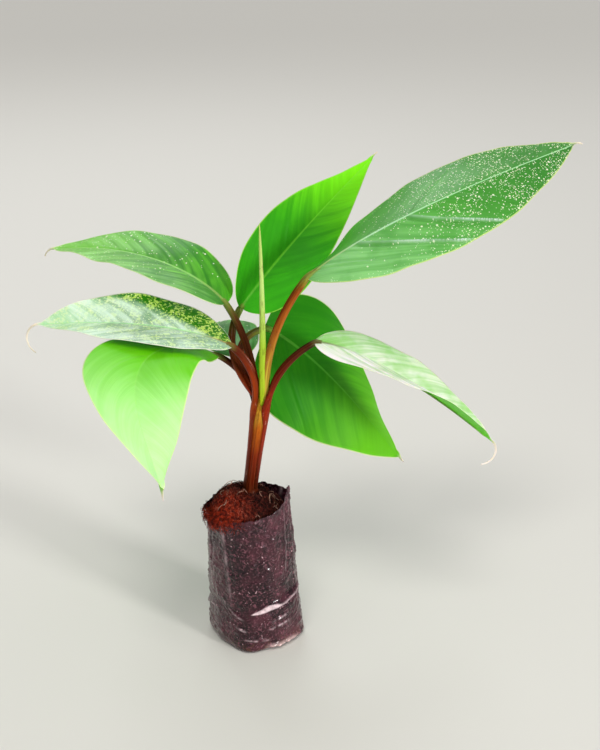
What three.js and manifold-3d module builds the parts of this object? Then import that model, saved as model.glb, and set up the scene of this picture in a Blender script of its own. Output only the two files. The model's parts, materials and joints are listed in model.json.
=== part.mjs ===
// A young banana plant in a black nursery grow bag, in millimetres, +Z up.
// The origin is the centre of the bag's flat underside. The plant is seen from -Y, with +X to the right.

import * as THREE from "three";
import { mergeVertices } from "three/addons/utils/BufferGeometryUtils.js";
import Module from "manifold-3d";

const wasm = await Module();
wasm.setup();

// Clearance between pieces that meet
const GAP = 0.3;

// Grow bag: a filled sack of thin film, squarish at its base and round above
const BAG_BASE_RADIUS = 47;
const BAG_RIM_RADIUS = 43;
const BAG_RIM_SHIFT = -8;
const BAG_RIM_HEIGHT = 152;
const BAG_RIM_SLOPE = 5;
const BAG_FLAP_RISE = 18;
const BAG_FLAP_ANGLE = 8;
const BAG_FLAP_SPREAD = 14;
const BAG_CORNER_SHARE = 0.07;
const BAG_CORNER_ANGLE = -100;
const BAG_CORNER_FADE = 60;
const BAG_EDGE_ROUND = 6;
const BAG_SIDES = 36;
const BAG_RING_HEIGHTS = [24, 50, 80, 110, 132];
const FILM = 1.2;

// Coir plug: fills the bag and stands up in a mound towards the front left
const COIR_EDGE_HEIGHT = 142;
const COIR_MOUND_HEIGHT = 156;
const COIR_MOUND_SWING = 6;
const COIR_MOUND_ANGLE = -140;
const COIR_MOUND_SHARES = [0.25, 0.5, 0.75];

// Pseudostem: sheaths packed in one tapering column, flat where it meets the coir
const FOOT = new THREE.Vector3(-6, 8, 160);
const FORK = new THREE.Vector3(8, 0, 270);
const STEM_SEAT_RADIUS = 12;
const STEM_SIDES = 20;
// Each row: share of the height, half width, half depth
const STEM_SECTIONS = [
  [0, 9, 9],
  [0.05, 7.6, 7.6],
  [0.14, 7, 7],
  [0.45, 7.6, 7.2],
  [0.75, 9, 7.8],
  [0.92, 10.5, 8],
  [0.98, 9, 7],
  [1, 5, 4],
];

// Spear: the newest leaf, still rolled up
const SPEAR_LENGTH = 186;
const SPEAR_SINK = 8;
const SPEAR_RADIUS = 4.2;
const SPEAR_TIP_RADIUS = 0.7;
const SPEAR_SIDES = 12;

// Petioles and blades
const PETIOLE_SIDES = 10;
const PETIOLE_STATIONS = 12;
const TRACE_STEPS = 240;
const BLADE_STATIONS = 24;
const BLADE_ACROSS = [-1, -0.68, -0.34, 0, 0.34, 0.68, 1];
const BLADE_THICKNESS_SHARE = 0.0105;
const BLADE_TIP_HALF_WIDTH = 1;
const BLADE_CAMBER = 0.08;
const RIB_END_SHARE = 0.15;

// Each leaf: where its petiole leaves the fork, and how petiole and blade run. Angles are in degrees.
// rise is above level and heading is round the stem from +X; roll turns the blade about its midrib;
// fold lifts both halves; bend under 1 turns the blade down soon after its base.
const LEAVES = {
  right_upper: {
    start: [2.5, 2, 0], petiole: 132, petioleRise: [91, 51], petioleHeading: -10,
    radius: [5.2, 3.8], blade: 312, halfWidth: 61, rise: 11, bend: 0.31, heading: 12, swing: 17,
    roll: [0, 37], fold: [-15, -2], base: 0.58, tip: 0.92, colour: 0x2f6b4a,
  },
  right_lower: {
    start: [5, 0, -2], petiole: 79, petioleRise: [74, 30], petioleHeading: 1,
    radius: [4.8, 3.4], blade: 210, halfWidth: 36, rise: -43, bend: 0.21, heading: -6, swing: 10,
    roll: [15, -5], fold: [4, 28], base: 0.5, tip: 0.83, colour: 0x9fb08c,
  },
  left_upper: {
    start: [-6, -1, -10], petiole: 70, petioleRise: [101, 39], petioleHeading: 170,
    radius: [5.2, 3.8], blade: 200, halfWidth: 43, rise: -8, bend: 0.32, heading: 172, swing: -2,
    roll: [-4, -28], fold: [6, 28], base: 0.58, tip: 0.87, colour: 0x5d8a52,
  },
  left_hanging: {
    start: [-6, 4, -12], petiole: 66, petioleRise: [62, 32], petioleHeading: 110,
    radius: [4, 3.2], blade: 242, halfWidth: 52, rise: -78, bend: 1.05, heading: 194, swing: 138,
    roll: [3, -24], fold: [-6, 26], base: 0.6, tip: 0.68, colour: 0x86c06a,
  },
  back_low: {
    start: [2, 6, -10], petiole: 108, petioleRise: [63, 6], petioleHeading: 184,
    radius: [4.6, 3.6], blade: 224, halfWidth: 71, rise: -56, bend: 0.15, heading: 17, swing: -7,
    roll: [73, 35], fold: [-14, -14], base: 0.46, tip: 0.93, colour: 0x3f9a2c,
  },
  back_high: {
    start: [-2, 6, -6], petiole: 105, petioleRise: [53, 48], petioleHeading: 185,
    radius: [4.6, 3.6], blade: 238, halfWidth: 43, rise: 26, bend: 0.3, heading: 45, swing: 3,
    roll: [72, 19], fold: [28, 7], base: 0.46, tip: 1.14, colour: 0x4fae2e,
  },
  back_left: {
    start: [-5, 5, -22], petiole: 118, petioleRise: [80, 50], petioleHeading: 100,
    radius: [4.6, 3.4], blade: 215, halfWidth: 44, rise: -12, bend: 0.5, heading: 152, swing: 6,
    roll: [-10, -10], fold: [14, 14], base: 0.5, tip: 0.85, colour: 0x78b86a,
  },
  back_middle: {
    start: [-1, 6, -22], petiole: 66, petioleRise: [66, 26], petioleHeading: 112,
    radius: [4.2, 3.2], blade: 212, halfWidth: 46, rise: -40, bend: 0.6, heading: 122, swing: -14,
    roll: [0, 8], fold: [10, 16], base: 0.52, tip: 0.88, colour: 0x5fa844,
  },
};

const lerp = THREE.MathUtils.lerp;
const radians = THREE.MathUtils.degToRad;

// A closed surface over a run of equal loops of points, with a flat fan over each end.
function skin(loops) {
  const count = loops[0].length;
  const positions = loops.flat().flatMap((point) => point.toArray());
  const index = [];
  for (let ring = 0; ring + 1 < loops.length; ring++) {
    for (let i = 0; i < count; i++) {
      const a = ring * count + i;
      const b = ring * count + ((i + 1) % count);
      index.push(a, b, b + count, a, b + count, a + count);
    }
  }
  const fan = (loop, first, reversed) => {
    const centre = loop.reduce((sum, point) => sum.add(point), new THREE.Vector3()).divideScalar(count);
    const middle = positions.length / 3;
    positions.push(...centre.toArray());
    for (let i = 0; i < count; i++) {
      const a = first + i;
      const b = first + ((i + 1) % count);
      index.push(middle, ...(reversed ? [b, a] : [a, b]));
    }
  };
  fan(loops[0], 0, true);
  fan(loops[loops.length - 1], (loops.length - 1) * count, false);
  const geometry = new THREE.BufferGeometry();
  geometry.setAttribute("position", new THREE.Float32BufferAttribute(positions, 3));
  geometry.setIndex(index);
  return geometry;
}

// A geometry as a solid that can be cut.
function solidOf(geometry) {
  const merged = mergeVertices(geometry, 1e-4);
  return new wasm.Manifold(
    new wasm.Mesh({
      numProp: 3,
      vertProperties: merged.attributes.position.array,
      triVerts: new Uint32Array(merged.index.array),
    }),
  );
}

// The largest body of a solid, as a geometry.
function geometryOf(solid) {
  const bodies = solid.decompose();
  bodies.sort((a, b) => b.volume() - a.volume());
  const { vertProperties, triVerts } = bodies[0].getMesh();
  const geometry = new THREE.BufferGeometry();
  geometry.setAttribute("position", new THREE.BufferAttribute(vertProperties, 3));
  geometry.setIndex(new THREE.BufferAttribute(triVerts, 1));
  return geometry;
}

function material(colour, roughness) {
  return new THREE.MeshStandardMaterial({ color: colour, roughness, metalness: 0 });
}

// Grow bag

// How far the filled bag leans at a height.
function bagShift(height) {
  return (BAG_RIM_SHIFT * height) / BAG_RIM_HEIGHT;
}

// Radius of the bag at a height and an angle in degrees: squarish at the base, round at the rim.
function bagRadius(height, angle) {
  const plain = lerp(BAG_BASE_RADIUS, BAG_RIM_RADIUS, Math.min(height / BAG_RIM_HEIGHT, 1));
  const fade = Math.exp(-height / BAG_CORNER_FADE);
  return plain * (1 + BAG_CORNER_SHARE * fade * Math.cos(radians(4 * (angle - BAG_CORNER_ANGLE))));
}

// Height of the torn rim at an angle in degrees, with a pointed flap at the right.
function rimHeight(angle) {
  const away = THREE.MathUtils.euclideanModulo(angle - BAG_FLAP_ANGLE + 180, 360) - 180;
  const flap = BAG_FLAP_RISE * Math.exp(-((away / BAG_FLAP_SPREAD) ** 2));
  return BAG_RIM_HEIGHT + BAG_RIM_SLOPE * Math.cos(radians(angle)) + flap;
}

// One loop round the bag: height and inset from the outer surface may follow the angle.
function bagLoop(heightAt, inset) {
  return Array.from({ length: BAG_SIDES }, (unused, i) => {
    const angle = (360 * i) / BAG_SIDES;
    const height = heightAt(angle);
    const radius = bagRadius(height, angle) - inset;
    return new THREE.Vector3(
      bagShift(height) + radius * Math.cos(radians(angle)),
      radius * Math.sin(radians(angle)),
      height,
    );
  });
}

function bagGeometry() {
  const outer = [
    bagLoop(() => 0, BAG_EDGE_ROUND),
    bagLoop(() => BAG_EDGE_ROUND * 0.3, BAG_EDGE_ROUND * 0.3),
    bagLoop(() => BAG_EDGE_ROUND, 0),
    ...BAG_RING_HEIGHTS.map((height) => bagLoop(() => height, 0)),
    bagLoop(rimHeight, 0),
  ];
  const inner = [
    bagLoop(rimHeight, FILM),
    ...BAG_RING_HEIGHTS.toReversed().map((height) => bagLoop(() => height, FILM)),
    bagLoop(() => BAG_EDGE_ROUND + FILM, FILM),
    bagLoop(() => FILM, BAG_EDGE_ROUND + FILM),
  ];
  return skin([...outer, ...inner]);
}

// Coir plug

// Height of the mound at an angle in degrees.
function moundHeight(angle) {
  return COIR_MOUND_HEIGHT + COIR_MOUND_SWING * Math.cos(radians(angle - COIR_MOUND_ANGLE));
}

function coirGeometry() {
  const inset = FILM + 2 * GAP;
  const wall = [
    bagLoop(() => FILM + GAP, BAG_EDGE_ROUND + inset),
    bagLoop(() => BAG_EDGE_ROUND + FILM + GAP, inset),
    ...BAG_RING_HEIGHTS.map((height) => bagLoop(() => height, inset)),
    bagLoop(() => COIR_EDGE_HEIGHT, inset),
  ];
  const edge = wall[wall.length - 1];
  const seat = ellipseLoop(FOOT.clone(), STEM_SEAT_RADIUS, STEM_SEAT_RADIUS, BAG_SIDES);
  const mound = COIR_MOUND_SHARES.map((share) =>
    edge.map((point, i) => {
      const between = point.clone().lerp(seat[i], share);
      const top = moundHeight((360 * i) / BAG_SIDES);
      between.z += 4 * share * (1 - share) * (top - (COIR_EDGE_HEIGHT + FOOT.z) / 2);
      return between;
    }),
  );
  return skin([...wall, ...mound, seat]);
}

// Pseudostem

function ellipseLoop(centre, halfWidth, halfDepth, sides) {
  return Array.from({ length: sides }, (unused, i) => {
    const angle = (2 * Math.PI * i) / sides;
    return new THREE.Vector3(
      centre.x + halfWidth * Math.cos(angle),
      centre.y + halfDepth * Math.sin(angle),
      centre.z,
    );
  });
}

// The stem's column, made larger by extra so that limbs can be cut clear of it.
function stemGeometry(extra = 0) {
  const base = FOOT.clone();
  base.z += GAP;
  const loops = STEM_SECTIONS.map(([share, halfWidth, halfDepth]) => {
    const centre = base.clone().lerp(FORK, share);
    centre.z += extra * share;
    return ellipseLoop(centre, halfWidth + extra, halfDepth + extra, STEM_SIDES);
  });
  return skin(loops);
}

// Petioles and blades

// Unit direction for a rise above level and a heading round the stem.
function direction(rise, heading) {
  const level = Math.cos(radians(rise));
  return new THREE.Vector3(
    level * Math.cos(radians(heading)),
    level * Math.sin(radians(heading)),
    Math.sin(radians(rise)),
  );
}

// A curve from start whose rise and heading go from their first value to their second.
function trace(start, length, rise, heading, bend) {
  const riseAt = (share) => lerp(rise[0], rise[1], share ** bend);
  const headingAt = (share) => lerp(heading[0], heading[1], share);
  const points = [start.clone()];
  for (let step = 0; step < TRACE_STEPS; step++) {
    const middle = (step + 0.5) / TRACE_STEPS;
    const ahead = direction(riseAt(middle), headingAt(middle));
    points.push(points[step].clone().addScaledVector(ahead, length / TRACE_STEPS));
  }
  return {
    end: points[TRACE_STEPS],
    at(share) {
      const place = share * TRACE_STEPS;
      const step = Math.min(Math.floor(place), TRACE_STEPS - 1);
      return points[step].clone().lerp(points[step + 1], place - step);
    },
    // Forward, side and up at a share of the length, turned by roll about the curve.
    frameAt(share, roll) {
      const forward = direction(riseAt(share), headingAt(share));
      const turn = radians(headingAt(share));
      const level = new THREE.Vector3(-Math.sin(turn), Math.cos(turn), 0);
      const side = level.applyAxisAngle(forward, radians(roll));
      const up = forward.clone().cross(side);
      return { forward, side, up };
    },
  };
}

// A round limb along a curve, tapering from radius[0] to radius[1] and larger by extra all round.
function limbGeometry(curve, radius, sides, extra = 0) {
  const loops = [];
  for (let station = 0; station <= PETIOLE_STATIONS; station++) {
    const share = station / PETIOLE_STATIONS;
    const { forward, side, up } = curve.frameAt(share, 0);
    const centre = curve.at(share);
    const beyond = { 0: -extra, [PETIOLE_STATIONS]: extra }[station] ?? 0;
    centre.addScaledVector(forward, beyond);
    const reach = lerp(radius[0], radius[1], share) + extra;
    loops.push(
      Array.from({ length: sides }, (unused, i) => {
        const angle = (2 * Math.PI * i) / sides;
        return centre
          .clone()
          .addScaledVector(side, reach * Math.cos(angle))
          .addScaledVector(up, reach * Math.sin(angle));
      }),
    );
  }
  return skin(loops);
}

function petioleCurve(leaf) {
  const start = FORK.clone().add(new THREE.Vector3(...leaf.start));
  return trace(start, leaf.petiole, leaf.petioleRise, [leaf.petioleHeading, leaf.heading], 1);
}

function bladeCurve(leaf) {
  const ahead = direction(leaf.petioleRise[1], leaf.heading);
  const start = petioleCurve(leaf).end.addScaledVector(ahead, GAP);
  const headings = [leaf.heading, leaf.heading + leaf.swing];
  return trace(start, leaf.blade, [leaf.petioleRise[1], leaf.rise], headings, leaf.bend);
}

// Share of the half width at a share of the length: rounded at the base, drawn out at the tip.
function outline(share, leaf) {
  const widest = leaf.base / (leaf.base + leaf.tip);
  const most = widest ** leaf.base * (1 - widest) ** leaf.tip;
  return (share ** leaf.base * (1 - share) ** leaf.tip) / most;
}

// A blade: two halves folded and cambered about a midrib that stands out below.
function bladeGeometry(leaf) {
  const curve = bladeCurve(leaf);
  const half = (leaf.blade * BLADE_THICKNESS_SHARE) / 2;
  const loops = [];
  for (let station = 0; station <= BLADE_STATIONS; station++) {
    const share = (1 - Math.cos((Math.PI * station) / BLADE_STATIONS)) / 2;
    const { side, up } = curve.frameAt(share, lerp(leaf.roll[0], leaf.roll[1], share));
    const fold = radians(lerp(leaf.fold[0], leaf.fold[1], share));
    const least = share < 0.5 ? leaf.radius[1] : BLADE_TIP_HALF_WIDTH;
    const width = Math.max(leaf.halfWidth * outline(share, leaf), least);
    const rib = leaf.radius[1] * lerp(1, RIB_END_SHARE, Math.sqrt(share));
    const centre = curve.at(share);
    const surface = BLADE_ACROSS.map((across) => {
      const lift = Math.abs(across) * Math.sin(fold) - BLADE_CAMBER * across ** 2;
      return centre
        .clone()
        .addScaledVector(side, width * across * Math.cos(fold))
        .addScaledVector(up, width * lift);
    });
    const top = surface.map((point) => point.clone().addScaledVector(up, half));
    const under = surface.map((point, i) =>
      point.clone().addScaledVector(up, -half - (BLADE_ACROSS[i] === 0 ? rib : 0)),
    );
    loops.push([...top.toReversed(), ...under]);
  }
  return skin(loops);
}

const plant = new THREE.Group();

function add(name, geometry, colour, roughness) {
  const mesh = new THREE.Mesh(geometry, material(colour, roughness));
  mesh.name = name;
  plant.add(mesh);
}

add("grow_bag", bagGeometry(), 0x17131a, 0.4);
add("coir", coirGeometry(), 0x5a2e1c, 0.95);
add("pseudostem", stemGeometry(), 0x8a3a1a, 0.5);

const cutters = [solidOf(stemGeometry(GAP))];
const clearOfAll = (geometry) => geometryOf(cutters.reduce((body, cutter) => body.subtract(cutter), solidOf(geometry)));

const spearStart = FORK.clone();
spearStart.z -= SPEAR_SINK;
const spearCurve = trace(spearStart, SPEAR_LENGTH, [90, 90], [0, 0], 1);
const spearRadius = [SPEAR_RADIUS, SPEAR_TIP_RADIUS];
add("spear", clearOfAll(limbGeometry(spearCurve, spearRadius, SPEAR_SIDES)), 0xb9c46a, 0.45);
cutters.push(solidOf(limbGeometry(spearCurve, spearRadius, SPEAR_SIDES, GAP)));

for (const [name, leaf] of Object.entries(LEAVES)) {
  const curve = petioleCurve(leaf);
  const geometry = limbGeometry(curve, leaf.radius, PETIOLE_SIDES);
  const cutter = solidOf(limbGeometry(curve, leaf.radius, PETIOLE_SIDES, GAP));
  add("petiole_" + name, clearOfAll(geometry), 0x7a2814, 0.45);
  add("leaf_" + name, geometryOf(solidOf(bladeGeometry(leaf)).subtract(cutter)), leaf.colour, 0.4);
  cutters.push(cutter);
}

export default plant;
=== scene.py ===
"""The looks of a young banana plant in a black grow bag, built around its packed frame.

Everything is in metres and degrees, +Z up. The plant is seen from -Y, with +X to the right.
"""

import functools
import json
import math
import random

import bmesh
import bpy
from bpy.props import FloatProperty, FloatVectorProperty, IntProperty, PointerProperty
from mathutils import Matrix, Vector, noise

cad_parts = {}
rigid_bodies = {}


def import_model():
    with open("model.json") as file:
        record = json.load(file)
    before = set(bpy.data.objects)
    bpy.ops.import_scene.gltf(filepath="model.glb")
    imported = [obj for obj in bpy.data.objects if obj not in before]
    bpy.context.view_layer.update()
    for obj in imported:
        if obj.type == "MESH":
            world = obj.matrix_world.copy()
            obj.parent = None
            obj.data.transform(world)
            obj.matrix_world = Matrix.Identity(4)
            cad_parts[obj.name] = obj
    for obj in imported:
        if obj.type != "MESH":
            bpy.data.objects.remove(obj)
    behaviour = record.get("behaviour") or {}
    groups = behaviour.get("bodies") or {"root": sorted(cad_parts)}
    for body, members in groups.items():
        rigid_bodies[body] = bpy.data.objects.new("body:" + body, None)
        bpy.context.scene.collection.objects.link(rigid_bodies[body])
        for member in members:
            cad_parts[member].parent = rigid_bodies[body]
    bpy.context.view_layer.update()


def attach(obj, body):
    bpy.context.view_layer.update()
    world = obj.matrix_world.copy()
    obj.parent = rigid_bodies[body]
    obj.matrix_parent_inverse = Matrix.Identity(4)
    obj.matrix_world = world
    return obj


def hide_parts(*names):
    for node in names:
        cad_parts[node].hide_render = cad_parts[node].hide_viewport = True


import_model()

bl_info = {
    "name": "Young banana plant in a grow bag",
    "version": (1, 0, 0),
    "blender": (4, 5, 0),
    "location": "View3D > Sidebar > Plant",
    "description": "Builds the bag, coir, stem, petioles and leaves around the packed frame",
    "category": "Add Mesh",
}

BODY = "root"
WELD = 1e-7

# Grow bag, by the source's rule: squarish at its base, round at its rim
BAG_BASE_RADIUS = 0.047
BAG_RIM_RADIUS = 0.043
BAG_RIM_SHIFT = -0.008
BAG_RIM_HEIGHT = 0.152
BAG_RIM_SLOPE = 0.005
BAG_FLAP_RISE = 0.018
BAG_FLAP_ANGLE = -12
BAG_FLAP_SPREAD = 20
BAG_CORNER_SHARE = 0.07
BAG_CORNER_ANGLE = -100
BAG_CORNER_FADE = 0.06
BAG_EDGE_ROUND = 0.006

# Coir plug, by the source's rule
COIR_EDGE_HEIGHT = 0.142
COIR_MOUND_HEIGHT = 0.156
COIR_MOUND_SWING = 0.006
COIR_MOUND_ANGLE = -140
COIR_INSET = 0.0035

# Pseudostem, by the source's rule. Each row: share of the height, half width, half depth
FOOT = Vector((-0.006, 0.008, 0.160))
FORK = Vector((0.008, 0, 0.270))
STEM_SEAT_RADIUS = 0.012
STEM_SECTIONS = [
    (0, 0.009, 0.009),
    (0.05, 0.0076, 0.0076),
    (0.14, 0.007, 0.007),
    (0.45, 0.0076, 0.0072),
    (0.75, 0.009, 0.0078),
    (0.92, 0.0105, 0.008),
    (0.98, 0.009, 0.007),
    (1, 0.005, 0.004),
]

# Spear, petioles and blades, by the source's rule
SPEAR_LENGTH = 0.186
SPEAR_SINK = 0.008
SPEAR_RADIUS = 0.0042
SPEAR_TIP_RADIUS = 0.0007
JOIN_GAP = 0.0003
TRACE_STEPS = 240
BLADE_CAMBER = 0.08

# Each leaf, by the source's rule, with what the source leaves out: tail is the drip tip's length, last
# rise and swing; sheath is how far the leaf's base runs down the stem, how far it stands out, and how
# many degrees it covers to each side at its foot and at the fork; near is the side that the viewer sees.
LEAVES = {
    "right_upper": dict(
        start=(0.0025, 0.002, 0), petiole=0.132, petiole_rise=(91, 51), petiole_heading=-10,
        radius=(0.0052, 0.0038), blade=0.312, half_width=0.061, rise=11, bend=0.31, heading=12,
        swing=17, roll=(0, 37), fold=(-15, -2), base=0.58, tip=0.92,
        tail=(0.012, -20, 10), sheath=(0.020, -0.0030, 60, 90), near=-1,
    ),
    "right_lower": dict(
        start=(0.005, 0, -0.002), petiole=0.079, petiole_rise=(74, 30), petiole_heading=1,
        radius=(0.0048, 0.0034), blade=0.210, half_width=0.036, rise=-43, bend=0.21, heading=-6,
        swing=10, roll=(15, -5), fold=(4, 40), base=0.5, tip=0.83,
        tail=(0.034, -175, 0), sheath=(0.104, 0.0008, 61, 95), near=-1,
    ),
    "left_upper": dict(
        start=(-0.006, -0.001, -0.010), petiole=0.070, petiole_rise=(101, 39), petiole_heading=170,
        radius=(0.0052, 0.0038), blade=0.200, half_width=0.043, rise=-8, bend=0.32, heading=172,
        swing=-2, roll=(-4, -28), fold=(6, 28), base=0.58, tip=0.87,
        tail=(0.040, -150, 0), sheath=(0.096, 0.0011, 67, 96), near=1,
    ),
    "left_hanging": dict(
        start=(-0.006, 0.004, -0.012), petiole=0.066, petiole_rise=(62, 32), petiole_heading=110,
        radius=(0.004, 0.0032), blade=0.242, half_width=0.052, rise=-78, bend=1.05, heading=194,
        swing=138, roll=(3, -24), fold=(-6, 26), base=0.6, tip=0.68,
        tail=(0.010, -80, 0), sheath=(0.070, 0.0005, 50, 70), near=1,
    ),
    "back_low": dict(
        start=(0.002, 0.006, -0.010), petiole=0.108, petiole_rise=(63, 6), petiole_heading=184,
        radius=(0.0046, 0.0036), blade=0.224, half_width=0.071, rise=-56, bend=0.15, heading=17,
        swing=-7, roll=(73, 35), fold=(-14, -14), base=0.46, tip=0.93,
        tail=(0.008, -40, 0), sheath=(0.050, 0.0004, 45, 60), near=-1,
    ),
    "back_high": dict(
        start=(-0.002, 0.006, -0.006), petiole=0.105, petiole_rise=(53, 48), petiole_heading=185,
        radius=(0.0046, 0.0036), blade=0.238, half_width=0.043, rise=26, bend=0.3, heading=45,
        swing=3, roll=(72, 19), fold=(28, 7), base=0.46, tip=1.14,
        tail=(0.008, 30, 0), sheath=(0.055, 0.0002, 45, 60), near=-1,
    ),
    "back_left": dict(
        start=(-0.005, 0.005, -0.022), petiole=0.118, petiole_rise=(80, 50), petiole_heading=100,
        radius=(0.0046, 0.0034), blade=0.215, half_width=0.044, rise=-12, bend=0.5, heading=152,
        swing=6, roll=(-10, -10), fold=(14, 14), base=0.5, tip=0.85,
        tail=(0.014, -70, 0), sheath=(0.060, 0.0007, 55, 75), near=1,
    ),
    "back_middle": dict(
        start=(-0.001, 0.006, -0.022), petiole=0.066, petiole_rise=(66, 26), petiole_heading=112,
        radius=(0.0042, 0.0032), blade=0.212, half_width=0.046, rise=-40, bend=0.6, heading=122,
        swing=-14, roll=(0, 8), fold=(10, 16), base=0.52, tip=0.88,
        tail=(0.012, -90, 0), sheath=(0.050, 0.0003, 40, 60), near=1,
    ),
}


def linear(code):
    """A colour in linear light from its six-digit display code."""
    parts = [int(code[i:i + 2], 16) / 255 for i in (0, 2, 4)]
    return tuple(p / 12.92 if p <= 0.04045 else ((p + 0.055) / 1.055) ** 2.4 for p in parts)


def opaque(colour):
    """A display code, a grey value or a linear colour, as a colour with full alpha."""
    if isinstance(colour, str):
        colour = linear(colour)
    elif isinstance(colour, float):
        colour = (colour,) * 3
    return (*colour, 1)


def clamp(value, low=0, high=1):
    """The value, held between its limits."""
    return min(max(value, low), high)


def lerp(a, b, t):
    """The value a share t of the way from a to b."""
    return a + (b - a) * t


def smooth(t):
    """A share from 0 to 1 that starts and ends gently."""
    t = clamp(t)
    return t * t * (3 - 2 * t)


def bell(distance, spread):
    """A bump of height 1 that fades over its spread."""
    return math.exp(-((distance / spread) ** 2))


def turn_apart(a, b):
    """The signed angle from b to a, between -180 and 180 degrees."""
    return (a - b + 180) % 360 - 180


def ripple(x, y, z):
    """A soft random value from about -1 to 1, the same at the same place."""
    return noise.noise(Vector((x, y, z)))


# Sizes and colours that a user would change


def size_prop(name, description, default, low=0.0):
    """A size in metres."""
    return FloatProperty(name=name, description=description, default=default, min=low, unit="LENGTH")


def count_prop(name, description, default):
    """How many of a thing."""
    return IntProperty(name=name, description=description, default=default, min=0)


def colour_prop(name, description, code):
    """A colour, from its display code."""
    return FloatVectorProperty(
        name=name, description=description, default=linear(code), min=0, max=1, size=3, subtype="COLOR",
    )


class BagSettings(bpy.types.PropertyGroup):
    """The grow bag's film."""

    film: size_prop("Film", "Thickness of the film as modelled", 0.0005, 0.0001)
    bulge: size_prop("Bulge", "How far the filled film swells and sinks between its folds", 0.0013)
    pimple: size_prop("Pimple", "Height of the bumps where grit presses on the film", 0.0009)
    colour: colour_prop("Film colour", "Colour of the clean film", "12060b")
    # Dust on the film, whose grain also carries painted glints
    dust_and_glints: colour_prop("Dust colour", "Colour of the dried splashes on the film", "8e5e69")


class CoirSettings(bpy.types.PropertyGroup):
    """The coir and what lies on it."""

    fibres: count_prop("Fibres", "How many loose fibres lie on the coir", 3000)
    roots: count_prop("Roots", "How many surface roots curl on the coir", 16)
    crumbs: count_prop("Crumbs", "How many crumbs of coir lie on top", 420)
    colour: colour_prop("Coir colour", "Colour of the coir where light reaches it", "7a2f22")
    root_colour: colour_prop("Root colour", "Colour of the surface roots", "b98a78")


class LeafSettings(bpy.types.PropertyGroup):
    """The blades."""

    spacing: size_prop("Mesh spacing", "Distance between the mesh's lines on a blade", 0.0013, 0.0005)
    thickness: size_prop("Thickness", "Thickness of a blade beside its midrib", 0.0005, 0.0002)
    vein_spacing: size_prop("Vein spacing", "Distance between the main side veins", 0.0072, 0.001)
    pleat: size_prop("Pleat", "Height of the fine pleats that the side veins make", 0.00005)
    swell: size_prop("Swell", "Height of the broad, soft swells between the side veins", 0.00045)
    wave: size_prop("Wave", "How far the margins wave up and down", 0.0016)
    green: colour_prop("Green", "Colour of the mature blades", "187206")
    blue_green: colour_prop("Blue green", "Colour of the largest blade", "2b7c26")
    lime: colour_prop("Lime", "Colour of the young and the sunlit blades", "68c010")
    tail: colour_prop("Drip tip", "Colour of the dry drip tips", "f2e6d4")


class StemSettings(bpy.types.PropertyGroup):
    """The pseudostem, petioles and spear."""

    orange: colour_prop("Orange", "Colour of the sheath in the middle of the stem", "c0610e")
    red: colour_prop("Red", "Colour of the red petioles at the fork", "ac2a02")
    maroon: colour_prop("Maroon", "Colour of the dark petioles", "680c02")
    spear: colour_prop("Spear", "Colour of the rolled leaf", "a2cc34")


# Node trees


class Signal:
    """A value that changes over a surface. Plain arithmetic on it adds maths nodes."""

    def __init__(self, nodes, socket):
        self.nodes = nodes
        self.socket = socket

    def __add__(self, other):
        return self.nodes.maths("ADD", self, other)

    def __sub__(self, other):
        return self.nodes.maths("SUBTRACT", self, other)

    def __rsub__(self, other):
        return self.nodes.maths("SUBTRACT", other, self)

    def __mul__(self, other):
        return self.nodes.maths("MULTIPLY", self, other)

    def __truediv__(self, other):
        return self.nodes.maths("DIVIDE", self, other)

    def __abs__(self):
        return self.nodes.maths("ABSOLUTE", self)


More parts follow.
